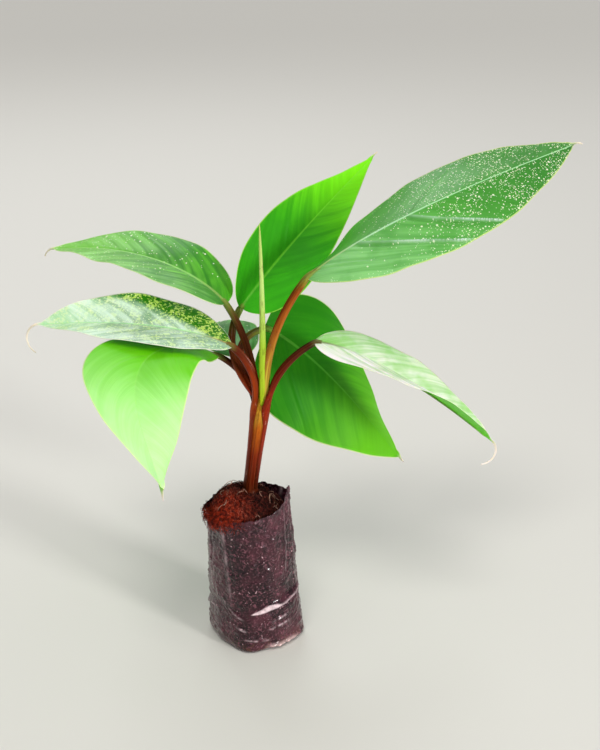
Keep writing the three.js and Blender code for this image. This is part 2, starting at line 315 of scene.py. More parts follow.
class Nodes:
    """Adds nodes to one tree. An input is given a signal to link from, or a plain value."""

    def __init__(self, tree):
        self.tree = tree

    def add(self, kind, inputs, **settings):
        made = self.tree.nodes.new(kind)
        for name, value in settings.items():
            setattr(made, name, value)
        for key, value in inputs.items():
            self.feed(made.inputs[key], value)
        return made

    def feed(self, socket, value):
        if isinstance(value, Signal):
            self.tree.links.new(value.socket, socket)
        elif socket.type == "RGBA":
            socket.default_value = opaque(value)
        else:
            socket.default_value = value

    def out(self, made, key=0):
        return Signal(self, made.outputs[key])

    def named(self, made):
        """Every output of a node, by its name."""
        return {socket.name: Signal(self, socket) for socket in made.outputs}

    def maths(self, operation, *values):
        return self.out(self.add("ShaderNodeMath", dict(enumerate(values)), operation=operation))

    def vector_maths(self, operation, *values, out=0):
        made = self.add("ShaderNodeVectorMath", dict(enumerate(values)), operation=operation)
        return self.out(made, out)

    def mix(self, factor, a, b, blend="MIX"):
        made = self.add("ShaderNodeMix", {0: factor, 6: a, 7: b}, data_type="RGBA", blend_type=blend)
        return self.out(made, 2)

    def ramp(self, factor, stops):
        """Colours or grey values at places from 0 to 1."""
        made = self.add("ShaderNodeValToRGB", {0: factor})
        elements = made.color_ramp.elements
        while len(elements) < len(stops):
            elements.new(1)
        for element, (place, colour) in zip(elements, stops):
            element.position = place
            element.color = opaque(colour)
        return self.out(made)

    def remap(self, value, low, high, to_low=0.0, to_high=1.0):
        """value from low to high as to_low to to_high, eased and held at its ends."""
        limits = {0: value, 1: low, 2: high, 3: to_low, 4: to_high}
        return self.out(self.add("ShaderNodeMapRange", limits, interpolation_type="SMOOTHSTEP"))

    def noise(self, vector, scale, detail=3.0, roughness=0.55, distortion=0.0):
        inputs = {
            "Vector": vector, "Scale": scale, "Detail": detail, "Roughness": roughness,
            "Distortion": distortion,
        }
        return self.out(self.add("ShaderNodeTexNoise", inputs), "Fac")

    def cells(self, vector, scale, **settings):
        """Distance to the middle of the nearest cell, and three values drawn for that cell."""
        made = self.add("ShaderNodeTexVoronoi", {"Vector": vector, "Scale": scale}, **settings)
        return self.out(made, "Distance"), self.parts(self.out(made, "Color"))

    def attribute(self, name):
        """The three values of a mesh layer."""
        return self.parts(self.place(name))

    def place(self, name):
        return self.out(self.add("ShaderNodeAttribute", {}, attribute_name=name), "Vector")

    def parts(self, vector):
        made = self.add("ShaderNodeSeparateXYZ", {0: vector})
        return [Signal(self, socket) for socket in made.outputs]

    def vector(self, x, y, z=0.0):
        return self.out(self.add("ShaderNodeCombineXYZ", {0: x, 1: y, 2: z}))

    def bend(self, vector, scale, amount):
        """vector pushed about by a noise, so that a pattern on it loses its even look."""
        push = self.add("ShaderNodeTexNoise", {"Vector": vector, "Scale": scale, "Detail": 2.0})
        return self.vector_maths("MULTIPLY_ADD", self.out(push, "Color"), (amount,) * 3, vector)

    def objects(self):
        return self.out(self.add("ShaderNodeTexCoord", {}), "Object")

    def bump(self, height, distance, strength=1.0):
        inputs = {"Height": height, "Distance": distance, "Strength": strength}
        return self.out(self.add("ShaderNodeBump", inputs))


def node_group(name, inputs, wire):
    """A shader node group, built once. wire(nodes, signals in) gives its outputs by name."""
    if name in bpy.data.node_groups:
        return bpy.data.node_groups[name]
    tree = bpy.data.node_groups.new(name, "ShaderNodeTree")
    for label, default in inputs.items():
        socket = tree.interface.new_socket(label, in_out="INPUT", socket_type="NodeSocketFloat")
        socket.default_value = default
    nodes = Nodes(tree)
    results = wire(nodes, nodes.named(nodes.add("NodeGroupInput", {})))
    for label in results:
        tree.interface.new_socket(label, in_out="OUTPUT", socket_type="NodeSocketFloat")
    nodes.add("NodeGroupOutput", results)
    return tree


def place_group(nodes, group, **values):
    """Puts a group into a material with its own values, and gives its outputs by name."""
    inputs = {label.replace("_", " "): value for label, value in values.items()}
    return nodes.named(nodes.add("ShaderNodeGroup", inputs, node_tree=group))


def material(name, build):
    """A material with one Principled shader. build(nodes) gives its inputs by name."""
    made = bpy.data.materials.new(name)
    made.use_nodes = True
    nodes = Nodes(made.node_tree)
    shader = made.node_tree.nodes["Principled BSDF"]
    for label, value in build(nodes).items():
        nodes.feed(shader.inputs[label], value)
    return made


# Meshes and objects


def grid(columns, rows, layers=()):
    """A flat grid whose layer "cell" holds each vertex's place, from 0 to 1 across and along."""
    bm = bmesh.new()
    bmesh.ops.create_grid(bm, x_segments=columns, y_segments=rows, size=0.5)
    for name in ("cell", *layers):
        bm.verts.layers.float_vector.new(name)
    cell = bm.verts.layers.float_vector["cell"]
    for vert in bm.verts:
        vert[cell] = (vert.co.x + 0.5, vert.co.y + 0.5, 0)
    return bm


def shape(bm, place):
    """Moves every vertex to place(across, along, under) and fills the named layers it gives."""
    layers = dict(bm.verts.layers.float_vector.items())
    for vert in bm.verts:
        vert.co, values = place(*vert[layers["cell"]])
        for name, value in values.items():
            vert[layers[name]] = value


def tube(columns, rows, place, layers=()):
    """A grid rolled up by place, welded along its seam and closed at its ends."""
    bm = grid(columns, rows, layers)
    shape(bm, place)
    bmesh.ops.remove_doubles(bm, verts=bm.verts, dist=WELD)
    bmesh.ops.holes_fill(bm, edges=[edge for edge in bm.edges if edge.is_boundary])
    bmesh.ops.recalc_face_normals(bm, faces=bm.faces)
    return mesh_of(bm)


def mesh_of(bm):
    """The bmesh as a mesh, without the layer that only its shaping needed."""
    cell = bm.verts.layers.float_vector.get("cell")
    if cell:
        bm.verts.layers.float_vector.remove(cell)
    mesh = bpy.data.meshes.new("piece")
    bm.to_mesh(mesh)
    bm.free()
    return mesh


def new_object(name, data):
    """A new object in the scene."""
    made = bpy.data.objects.new(name, data)
    bpy.context.scene.collection.objects.link(made)
    return made


def strands(paths, thickness):
    """One mesh of round strands. Each path is a list of (point, share of the thickness)."""
    curve = bpy.data.curves.new("strands", "CURVE")
    curve.dimensions = "3D"
    curve.bevel_depth = thickness / 2
    curve.bevel_resolution = 0
    curve.use_fill_caps = True
    for path in paths:
        spline = curve.splines.new("POLY")
        spline.points.add(len(path) - 1)
        for place, (point, share) in zip(spline.points, path):
            place.co = (*point, 1)
            place.radius = share
    holder = new_object("strands", curve)
    depsgraph = bpy.context.evaluated_depsgraph_get()
    mesh = bpy.data.meshes.new_from_object(holder.evaluated_get(depsgraph))
    bpy.data.objects.remove(holder)
    return mesh


def add_piece(name, mesh, surface, nodes=()):
    """Makes a finished mesh a smooth piece of the plant that rides on its body."""
    mesh.name = name
    mesh.materials.append(surface)
    mesh.polygons.foreach_set("use_smooth", [True] * len(mesh.polygons))
    piece = new_object(name, mesh)
    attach(piece, BODY)
    if nodes:
        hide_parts(*nodes)


# Curves that petioles and blades follow


def direction(rise, heading):
    """Unit direction for a rise above level and a heading round the stem."""
    rise, heading = math.radians(rise), math.radians(heading)
    level = math.cos(rise)
    return Vector((level * math.cos(heading), level * math.sin(heading), math.sin(rise)))


class Path:
    """A curve whose rise and heading follow the share of its length, up to reach times that length."""

    def __init__(self, start, length, rise_at, heading_at, reach=1.0):
        self.rise_at = rise_at
        self.heading_at = heading_at
        self.points = [Vector(start)]
        for step in range(math.ceil(TRACE_STEPS * reach)):
            middle = (step + 0.5) / TRACE_STEPS
            ahead = direction(rise_at(middle), heading_at(middle))
            self.points.append(self.points[-1] + ahead * (length / TRACE_STEPS))

    def at(self, share):
        place = share * TRACE_STEPS
        step = min(int(place), len(self.points) - 2)
        return self.points[step].lerp(self.points[step + 1], place - step)

    def axes(self, share, roll=0.0):
        """Forward, side and up at a share of the length, turned by roll about the curve."""
        forward = direction(self.rise_at(share), self.heading_at(share))
        turn = math.radians(self.heading_at(share))
        level = Vector((-math.sin(turn), math.cos(turn), 0))
        side = Matrix.Rotation(math.radians(roll), 3, forward) @ level
        return forward, side, forward.cross(side)


def petiole_path(leaf):
    """The curve from the fork to the blade."""
    first, last = leaf["petiole_rise"]
    return Path(
        FORK + Vector(leaf["start"]),
        leaf["petiole"],
        lambda share: lerp(first, last, share),
        lambda share: lerp(leaf["petiole_heading"], leaf["heading"], share),
    )


def blade_path(leaf):
    """The curve of the midrib, carried on into the drip tip."""
    first, heading = leaf["petiole_rise"][1], leaf["heading"]
    length, tail_rise, tail_swing = leaf["tail"]
    beyond = length / leaf["blade"]

    def rise_at(share):
        if share <= 1:
            return lerp(first, leaf["rise"], share ** leaf["bend"])
        return lerp(leaf["rise"], tail_rise, (share - 1) / beyond)

    def heading_at(share):
        turned = heading + leaf["swing"] * min(share, 1)
        return turned + tail_swing * max(share - 1, 0) / beyond

    start = petiole_path(leaf).at(1) + direction(first, heading) * JOIN_GAP
    return Path(start, leaf["blade"], rise_at, heading_at, 1 + beyond)


def outline(share, leaf):
    """Share of the half width at a share of the length: rounded at the base, drawn out at the tip."""
    if not 0 < share < 1:
        return 0
    widest = leaf["base"] / (leaf["base"] + leaf["tip"])
    most = widest ** leaf["base"] * (1 - widest) ** leaf["tip"]
    return share ** leaf["base"] * (1 - share) ** leaf["tip"] / most


def rib_radius(leaf, share):
    """Radius of the midrib at a share of the blade's length."""
    return leaf["radius"][1] * lerp(1, 0.13, math.sqrt(clamp(share)))


# Grow bag

# Folds of the film: (angle, height) of each end, how far it stands out, and its width upwards
BAG_FOLDS = [
    ((-93, 0.0450), (-6, 0.0610), 0.0054, 0.0074),
    ((-124, 0.0480), (-102, 0.0385), 0.0020, 0.0050),
    ((-114, 0.0300), (-98, 0.0255), 0.0020, 0.0040),
    ((-64, 0.0330), (-38, 0.0385), 0.0018, 0.0050),
    ((-72, 0.0245), (-34, 0.0290), 0.0014, 0.0045),
    ((-104, 0.0160), (-70, 0.0120), 0.0012, 0.0045),
    ((20, 0.050), (80, 0.041), 0.0030, 0.0070),
    ((100, 0.060), (150, 0.052), 0.0030, 0.0070),
    ((165, 0.034), (215, 0.043), 0.0030, 0.0065),
    ((60, 0.100), (110, 0.108), 0.0016, 0.0060),
    ((190, 0.096), (225, 0.090), 0.0016, 0.0055),
]
# Upright pleats: angle at the rim, angle at the lower end, height of that end, depth, width in degrees
BAG_PLEATS = [
    (-128, -117, 0.040, 0.0010, 4.5),
    (-30, -38, 0.070, 0.0011, 3.0),
    (-19, -17, 0.058, 0.0014, 3.0),
    (-10, -4, 0.066, 0.0012, 3.0),
    (38, 52, 0.040, 0.0016, 4.5),
    (96, 88, 0.064, 0.0014, 4.0),
    (146, 158, 0.030, 0.0016, 4.5),
    (205, 199, 0.072, 0.0012, 3.5),
]
# A lip above the ground at the front, with a painted highlight along it: first and last angle, height,
# how far it stands out
BAG_LIP = (-80, -20, 0.0048, 0.0036)
# The main fold's painted highlight, shaped as a lens: where it ends along the fold, and its height
BAG_HIGHLIGHT_END = 0.50
BAG_HIGHLIGHT_HEIGHT = 0.0043
# Grit under the film: distance between its bumps, and share of their height
BAG_GRIT = [(0.0052, 1.0), (0.0085, 1.2)]
# Grit bumps on the film with painted glints on their tops: how many bumps to a metre, how often they
# show, and how far each one spreads
BAG_GLINT_BUMPS = [(165.0, 0.2, 0.48), (320.0, 0.25, 0.50)]
# How far the torn edge wanders up and down, in large and in small steps, and how far it stands out
BAG_TEAR = 0.0016
BAG_TEAR_FINE = 0.0011
BAG_EDGE_FLARE = 0.0022
# The film's mesh: its lines round and up, and the share of its rows under the bag
BAG_COLUMNS = 240
BAG_ROWS = 204
BAG_SPLIT = 0.10


def bag_shift(height):
    """How far the filled bag leans at a height."""
    return BAG_RIM_SHIFT * height / BAG_RIM_HEIGHT


def bag_radius(height, angle):
    """Radius of the bag at a height and an angle."""
    plain = lerp(BAG_BASE_RADIUS, BAG_RIM_RADIUS, min(height / BAG_RIM_HEIGHT, 1))
    turn = math.radians(4 * (angle - BAG_CORNER_ANGLE))
    corner = math.cos(turn) + 0.34 * math.cos(2 * turn)
    return plain * (1 + BAG_CORNER_SHARE * math.exp(-height / BAG_CORNER_FADE) * corner)


def rim_height(angle):
    """Height of the rim before it tore."""
    flap = BAG_FLAP_RISE * bell(turn_apart(angle, BAG_FLAP_ANGLE), BAG_FLAP_SPREAD)
    return BAG_RIM_HEIGHT + BAG_RIM_SLOPE * math.cos(math.radians(angle)) + flap


def bag_point(angle, height, outward=0.0):
    """A point on the bag's plain surface, moved outward."""
    turn = math.radians(angle)
    reach = bag_radius(height, angle) + outward
    return Vector((bag_shift(height) + reach * math.cos(turn), reach * math.sin(turn), height))


def painted_lens_highlight(along, above):
    """The main fold's painted highlight: a lens, and the bright line that carries it on."""
    swell = math.sin(math.pi * clamp(along / BAG_HIGHLIGHT_END)) ** 0.8
    below_top = smooth((BAG_HIGHLIGHT_HEIGHT * swell - above) / 0.0012 + 0.5)
    lens = smooth((above + 0.0004) / 0.0010) * below_top * smooth(swell * 4)
    line = bell(above - 0.0006, 0.0008) * smooth((along - 0.3) / 0.2) * smooth((1.05 - along) / 0.2)
    return max(lens, 0.6 * line)


def fold_relief(angle, height):
    """The folds across the film, each a lip over a hollow, how taut they pull it, and the highlights
    painted along them.
    """
    relief = taut = shine = 0
    for index, ((angle_a, height_a), (angle_b, height_b), rise, width) in enumerate(BAG_FOLDS):
        along = turn_apart(angle, angle_a) / (angle_b - angle_a)
        if not -0.1 < along < 1.1:
            continue
        above = height - lerp(height_a, height_b, along)
        above += 0.0010 * ripple(angle / 16, rise * 900, 3)
        ends = smooth((along + 0.1) / 0.5) * smooth((1.1 - along) / 0.4)
        if above > 0:
            profile = max(1 - above / width, 0) ** 1.15
            taut = max(taut, ends * smooth(profile * 4))
        else:
            profile = 1.2 * bell(above, 0.0016) - 0.2 * bell(above, width * 1.2)
        relief += rise * ends * profile
        # Painted highlight: the lens on the main fold, and a broken bright line along each other fold
        if index == 0:
            shine = painted_lens_highlight(along, above)
        else:
            broken = smooth(0.6 + 1.4 * ripple(angle / 4, rise * 500, 6))
            shine = max(shine, 0.6 * ends * broken * bell(above - 0.0005, 0.0009))
    return relief, min(taut * 1.4, 1), shine


def pleat_relief(angle, height, rim):
    """The film's upright pleats, each an edge beside a hollow, and how near a point is to an edge,
    where a highlight is painted.
    """
    relief = crest = 0
    for top, foot, low, depth, width in BAG_PLEATS:
        share = (height - low) / (rim - low)
        if share <= 0:
            continue
        bend = 1.2 * ripple(height * 60, top, 5)
        away = (turn_apart(angle, lerp(foot, top, share)) + bend) / width
        edge = bell(away, 0.6) - 0.6 * bell(away - 1.3, 0.9)
        relief += depth * smooth(share * 2.5) * edge
        broken = smooth(0.55 + 1.3 * ripple(height * 80, top, 9))
        crest = max(crest, smooth(share * 2.5) * bell(away - 0.25, 0.35) * broken)
    return relief, crest


def film_relief(angle, height, rim, settings):
    """How far the film stands out from the plain bag, from large folds down to grit, and its marks:
    how taut it is, and where highlights are painted.
    """
    turn = math.radians(angle)
    spot = Vector((math.cos(turn), math.sin(turn), height / BAG_RIM_RADIUS))
    relief = settings.bulge * (noise.noise(spot * 1.6) + 0.6 * noise.noise(spot * 3.7))
    ridged = 1 - abs(noise.noise(spot * 5.3 + Vector((4, 1, 7)))) * 4
    relief += settings.bulge * 0.45 * max(ridged, 0) ** 2
    crinkle = 1 - abs(ripple(spot.x * 13, spot.y * 13, spot.z * 8)) * 3
    relief += settings.bulge * 0.2 * max(crinkle, 0) ** 2
    for size, share in BAG_GRIT:
        distances, cells = noise.voronoi(spot * (BAG_RIM_RADIUS / size))
        lot = abs(noise.cell(cells[0] * 1.7))
        relief += settings.pimple * share * lot * bell(distances[0], 0.36)
    folds, taut, shine = fold_relief(angle, height)
    pleats, crest = pleat_relief(angle, height, rim)
    relief = relief * (1 - 0.8 * taut) + folds + pleats
    first, last, lip_height, lip = BAG_LIP
    along = turn_apart(angle, first) / (last - first)
    shown = 0
    if 0 < along < 1:
        uneven = 0.75 + 0.5 * ripple(angle / 5, 8, 2)
        shown = uneven * smooth(along * 4) * smooth((1 - along) * 4) * bell(height - lip_height, 0.0021)
    # How taut the film is, then painted highlights: along the lip, on the folds and on the pleats' edges
    marks = (0.8 * taut, min(shown, 1), max(shine, 0.35 * crest))
    return smooth(height / 0.012) * relief + lip * shown, marks


def film_mesh(settings):
    """The whole film: flat underside, rounded edge, wall and torn rim, then its thickness."""

    def place(across, along, under):
        angle = 360 * across
        turn = math.radians(angle)
        tear = BAG_TEAR * ripple(math.cos(turn) * 7, math.sin(turn) * 7, 2)
        tear += BAG_TEAR_FINE * ripple(angle / 2.1, 5, 1)
        rim = rim_height(angle) + tear
        if along < BAG_SPLIT:
            share = along / BAG_SPLIT
            reach = bag_radius(0, angle) - BAG_EDGE_ROUND
            if share < 0.5:
                outward = (share / 0.5 - 1) * reach - BAG_EDGE_ROUND
                return bag_point(angle, 0, outward), {"film_marks": (0, 0, 0)}
            bend = math.radians(90 * (share - 0.5) / 0.5)
            height = BAG_EDGE_ROUND * (1 - math.cos(bend))
            outward = BAG_EDGE_ROUND * (math.sin(bend) - 1)
        else:
            height = lerp(BAG_EDGE_ROUND, rim, (along - BAG_SPLIT) / (1 - BAG_SPLIT))
            free = smooth((height - COIR_EDGE_HEIGHT) / (rim - COIR_EDGE_HEIGHT))
            outward = free * BAG_EDGE_FLARE * (0.3 + ripple(angle / 17, 2, 6))
        relief, marks = film_relief(angle, height, rim, settings)
        return bag_point(angle, height, outward + relief), {"film_marks": marks}

    bm = grid(BAG_COLUMNS, BAG_ROWS, ["film_marks"])
    shape(bm, place)
    bmesh.ops.remove_doubles(bm, verts=bm.verts, dist=WELD)
    bmesh.ops.recalc_face_normals(bm, faces=bm.faces)
    outermost = max(bm.faces, key=lambda face: face.calc_center_median().x)
    if outermost.normal.x < 0:
        bmesh.ops.reverse_faces(bm, faces=bm.faces)
    bmesh.ops.solidify(bm, geom=bm.faces, thickness=settings.film)
    return mesh_of(bm)


def film_material(settings):
    """Glossy black polythene with a purple-brown cast, crinkles, grit and dried splashes, with painted
    glints on the grit and splashes, and painted highlights on its lip, folds and pleats.
    """

    def build(nodes):
        where = nodes.objects()
        cloud = nodes.noise(where, 38.0, 4.0)
        fine = nodes.noise(where, 260.0, 3.0)
        # How taut the film is, and where highlights are painted on its lip, folds and pleats
        taut, lip, shine = nodes.attribute("film_marks")
        base = nodes.mix(nodes.remap(cloud, 0.35, 0.72), settings.colour, "46202a")
        low = nodes.remap(nodes.parts(where)[2], 0.0, 0.020, 1.0, 0.0)
        base = nodes.mix(low * nodes.remap(fine, 0.42, 0.62) * 0.5, base, "6b4a33")
        bent = nodes.bend(where, 150.0, 0.007)
        grain = nodes.noise(bent, 400.0, 2.0, 0.6)
        height = nodes.noise(where, 165.0, 1.0) * 1.7 + grain * 0.45
        patchy = nodes.remap(nodes.noise(where, 60.0, 3.0), 0.34, 0.62, 0.3, 1.0)
        # Dried dust, in a grain that also carries painted glints
        base = nodes.mix(nodes.remap(grain, 0.50, 0.68) * patchy * 0.62, base, settings.dust_and_glints)
        glints = 0.0
        for scale, chance, size in BAG_GLINT_BUMPS:
            distance, lot = nodes.cells(bent, scale)
            dome = nodes.remap(distance, 0.0, size, 1.0, 0.0) * nodes.remap(lot[0], chance, 1.0)
            height += dome * (110.0 / scale)
            # Painted glint on the top of a grit bump
            glint = nodes.remap(dome, 0.5, 0.85) * nodes.remap(lot[1], 0.3, 0.8)
            glints = nodes.maths("MAXIMUM", glints, glint)
        base = nodes.mix(glints * 0.75, base, "d0b2b6")
        # Painted glint rings over a few small bubbles in the film
        distance, lot = nodes.cells(where, 62.0)
        ring = nodes.remap(abs(distance - 0.12), 0.01, 0.045, 1.0, 0.0) * nodes.remap(lot[2], 0.74, 0.9)
        base = nodes.mix(ring * 0.7, base, "b0909c")
        height = (height + ring * 0.5) * (1.0 - taut)
        # Painted highlight along the lip
        base = nodes.mix(lip * 0.85, base, "ead8d0")
        # Painted highlights on the folds and the pleats' edges
        base = nodes.mix(shine * nodes.remap(fine, 0.3, 0.6, 0.5, 0.85), base, "f8ecec")
        return {
            "Base Color": base,
            "Roughness": nodes.remap(cloud, 0.3, 0.7, 0.26, 0.38),
            "Normal": nodes.bump(height, 0.0011, 0.9),
            "Specular IOR Level": 0.16,
            "Specular Tint": (1.0, 0.74, 0.84),
            "Coat Weight": 1.0,
            "Coat IOR": 1.34,
            "Coat Roughness": 0.14,
            "Coat Tint": (1.0, 0.88, 0.92),
        }

    return material("black polythene film", build)


# Coir

COIR_FLOOR = 0.002
COIR_COLUMNS = 150
COIR_ROWS = 130
# Shares of the plug's mesh where its underside and its wall end
COIR_BASE_END = 0.12
COIR_WALL_END = 0.30
# The middle of the dry, red heap, where the coir is painted as lit
LIT_DRY_HEAP = (-0.036, -0.030, 0.152)
# How far it is over the mound from the film to the stem
MOUND_REACH = 0.034
# Least and most of each: how long a strand is, and how far it rises off the mound
FIBRE_LENGTHS = (0.005, 0.020)
FIBRE_LOFTS = (0.0003, 0.0040)
ROOT_LENGTHS = (0.012, 0.034)
ROOT_RISES = (0.0015, 0.006)
FIBRE_THICKNESS = 0.00042
DRY_FIBRE_THICKNESS = 0.00034
ROOT_THICKNESS = 0.0010
# One fibre hangs over the rim for so many that lie on the mound
HANGING_ONE_IN = 12
CRUMB_RADII = (0.0005, 0.0014)
COIR_SEED = 11


def mound_height(angle):
    """Height of the mound's shoulder at an angle."""
    return COIR_MOUND_HEIGHT + COIR_MOUND_SWING * math.cos(math.radians(angle - COIR_MOUND_ANGLE))


def coir_point(share, angle, lift=0.0):
    """A point on the mound: share 0 is at the film and 1 under the stem."""
    edge = bag_point(angle, COIR_EDGE_HEIGHT, -COIR_INSET)
    turn = math.radians(angle)
    seat = FOOT + Vector((math.cos(turn), math.sin(turn), 0)) * STEM_SEAT_RADIUS * (2 - share)
    point = edge.lerp(seat, min(share, 1))
    crown = mound_height(angle) - (COIR_EDGE_HEIGHT + FOOT.z) / 2
    point.z += 4 * share * (1 - share) * crown + 0.003 * bell(share - 0.98, 0.3)
    if share > 1:
        point = FOOT.lerp(point, 2 - share)
    rough = noise.noise(point * 260) * 0.0016 + noise.noise(point * 90) * 0.0028
    point.z += rough * (1 - smooth((share - 0.8) / 0.3)) + lift
    return point


def coir_mesh():
    """The plug: flat base, wall inside the film, and the rough mound."""

    def place(across, along, under):
        angle = 360 * across
        if along <= COIR_BASE_END:
            reach = bag_radius(2 * COIR_FLOOR, angle) - BAG_EDGE_ROUND
            outward = (along / COIR_BASE_END - 1) * reach - BAG_EDGE_ROUND
            return bag_point(angle, COIR_FLOOR, outward), {}
        if along <= COIR_WALL_END:
            share = (along - COIR_BASE_END) / (COIR_WALL_END - COIR_BASE_END)
            inset = lerp(BAG_EDGE_ROUND, COIR_INSET, smooth(share * 3))
            return bag_point(angle, lerp(COIR_FLOOR, COIR_EDGE_HEIGHT, share), -inset), {}
        share = (along - COIR_WALL_END) / (1 - COIR_WALL_END) * 2
        return coir_point(share, angle), {}

    return tube(COIR_COLUMNS, COIR_ROWS, place)


def dryness_and_light(nodes):
    """How dry, red and heaped the coir is, and painted as lit: most at the front left, with painted shade
    elsewhere.
    """

    def wire(nodes, entry):
        away = nodes.vector_maths("DISTANCE", nodes.objects(), LIT_DRY_HEAP, out="Value")
        return {"Dry": nodes.remap(away, entry["Full"], entry["None"], 1.0, 0.0)}

    return place_group(nodes, node_group("coir dryness", {"Full": 0.012, "None": 0.046}, wire))["Dry"]


def coir_material(settings):
    """Damp brown coir with painted shade, redder and painted as lit at the front left."""

    def build(nodes):
        where = nodes.objects()
        coarse = nodes.noise(where, 150.0, 5.0, 0.7)
        fine = nodes.noise(where, 800.0, 4.0, 0.7)
        grain = coarse * 0.55 + fine * 0.45
        damp = nodes.ramp(grain, [(0.38, "070202"), (0.52, "180705"), (0.68, "30100b")])
        dry = nodes.ramp(grain, [(0.38, "180504"), (0.52, "3f0e08"), (0.70, settings.colour)])
        return {
            "Base Color": nodes.mix(dryness_and_light(nodes), damp, dry),
            "Roughness": 0.92,
            "Normal": nodes.bump(coarse + fine, 0.004),
            "Specular IOR Level": 0.1,
        }

    return material("coir", build)


def tones(nodes, scale, dark, light):
    """Two colours mixed by a soft noise."""
    cloud = nodes.noise(nodes.objects(), scale, 2.0)
    return nodes.mix(nodes.remap(cloud, 0.38, 0.62), dark, light)


def plain_material(name, scale, dark, light, roughness):
    """Two tones, for many small things."""
    return material(
        name, lambda nodes: {"Base Color": tones(nodes, scale, dark, light), "Roughness": roughness}
    )


def fibre_material(name, damp, dry):
    """Loose fibres: damp and dark behind with painted shade, dry, red and painted as lit at the front
    left.
    """

    def build(nodes):
        base = nodes.mix(dryness_and_light(nodes), tones(nodes, 340.0, *damp), tones(nodes, 340.0, *dry))
        return {"Base Color": base, "Roughness": 0.7, "Specular IOR Level": 0.15}

    return material(name, build)


def crawl(start, heading, length, steps, held, round_reach, thinning, lift_at, turn_at):
    """A strand's path over the mound, from a share and an angle on, held between two shares."""
    share, angle = start
    path = []
    for step in range(steps + 1):
        along = step / steps
        path.append((coir_point(clamp(share, *held), angle, lift_at(along)), 1 - thinning * along))
        share += math.cos(heading) * length / steps / MOUND_REACH
        angle += math.degrees(math.sin(heading) * length / steps / lerp(*round_reach, clamp(share)))
        heading += turn_at(along)
    return path


def coir_fibre(rng):
    """One loose fibre that wanders over the mound."""
    length = rng.uniform(*FIBRE_LENGTHS)
    loft = rng.uniform(*FIBRE_LOFTS)
    start = (1 - math.sqrt(rng.random()) * 0.98, rng.uniform(0, 360))
    heading = rng.uniform(0, 2 * math.pi)
    bend = rng.uniform(-0.55, 0.55)
    phase = rng.uniform(0, 6)

    def lift_at(along):
        return 0.0004 + loft * math.sin(math.pi * along) * (0.6 + 0.4 * math.sin(phase + 5 * along))

    return crawl(
        start, heading, length, 6, (-0.02, 1.05), (0.042, 0.012), 0.5, lift_at, lambda along: bend
    )


def surface_root(rng):
    """A tan root that loops up out of the coir and back."""
    angle = rng.gauss(-70, 75)
    share = rng.uniform(0.1, 0.85)
    length = rng.uniform(*ROOT_LENGTHS)
    heading = rng.uniform(0, 2 * math.pi)
    rise = rng.uniform(*ROOT_RISES)
    phase = rng.uniform(0, 6)

    def lift_at(along):
        return rise * math.sin(math.pi * along) ** 0.8 + 0.0012 * math.sin(phase + 9 * along) - 0.0006

    return crawl(
        (share, angle), heading, length, 18, (0.04, 0.98), (0.04, 0.014), 0.55, lift_at,
        lambda along: 0.5 * math.sin(phase + 11 * along) + 0.04,
    )


def hanging_fibre(rng):
    """A fibre that spills over the rim and curls down outside the film."""
    angle = rng.gauss(-140, 20)
    share = rng.uniform(0.0, 0.16)
    reach = rng.uniform(0.004, 0.016)
    stand = rng.uniform(0.0006, 0.0035)
    drift = rng.uniform(-14, 14)
    phase = rng.uniform(0, 6)
    path = [(coir_point(share + 0.12, angle, 0.0006), 0.8), (coir_point(share, angle, 0.002), 1.0)]
    edge = rim_height(angle)
    for step in range(1, 7):
        along = step / 6
        height = edge + 0.0015 - reach * along ** 1.3
        out = stand * (1 + 0.5 * math.sin(phase + 5 * along)) + 0.0012
        turn = angle + drift * along + 2.5 * math.sin(phase + 7 * along)
        path.append((bag_point(turn, height, out), 1 - 0.45 * along))
    return path


def crumbs_mesh(rng, count):
    """Small lumps of coir lying on the mound."""
    bm = bmesh.new()
    for _ in range(count):
        size = rng.uniform(*CRUMB_RADII)
        place = coir_point(1 - math.sqrt(rng.random()) * 0.97, rng.uniform(0, 360), size * 0.3)
        turn = Matrix.Rotation(rng.uniform(0, 6), 4, Vector((rng.random(), rng.random(), 1)).normalized())
        flat = Matrix.Diagonal((1, rng.uniform(0.6, 1), rng.uniform(0.4, 0.8), 1))
        put = Matrix.Translation(place) @ turn @ flat
        bmesh.ops.create_icosphere(bm, subdivisions=1, radius=size, matrix=put)
    return mesh_of(bm)


# Pseudostem


def stem_centre(share):
    """The stem's middle at a share of its height."""
    return FOOT.lerp(FORK, share)


def stem_halves(share):
    """Half width and half depth of the stem at a share of its height."""
    share = clamp(share)
    for low, high in zip(STEM_SECTIONS, STEM_SECTIONS[1:]):
        if share <= high[0]:
            part = (share - low[0]) / (high[0] - low[0])
            return lerp(low[1], high[1], part), lerp(low[2], high[2], part)
    return STEM_SECTIONS[-1][1:]


# Share of a limb's section that is its outer side; the rest is its groove or its inner wall
OUTER_SHARE = 0.6
LIMB_LAYERS = ("limb_place", "limb_share")
STEM_COLUMNS = 120
STEM_ROWS = 110
# Edges of the packed sheaths: angle at the foot, angle at the fork, and height of the step
SHEATH_EDGES = [(-112, -98, 0.0007), (-62, -70, 0.0006), (30, 60, 0.0007), (150, 120, 0.0006)]


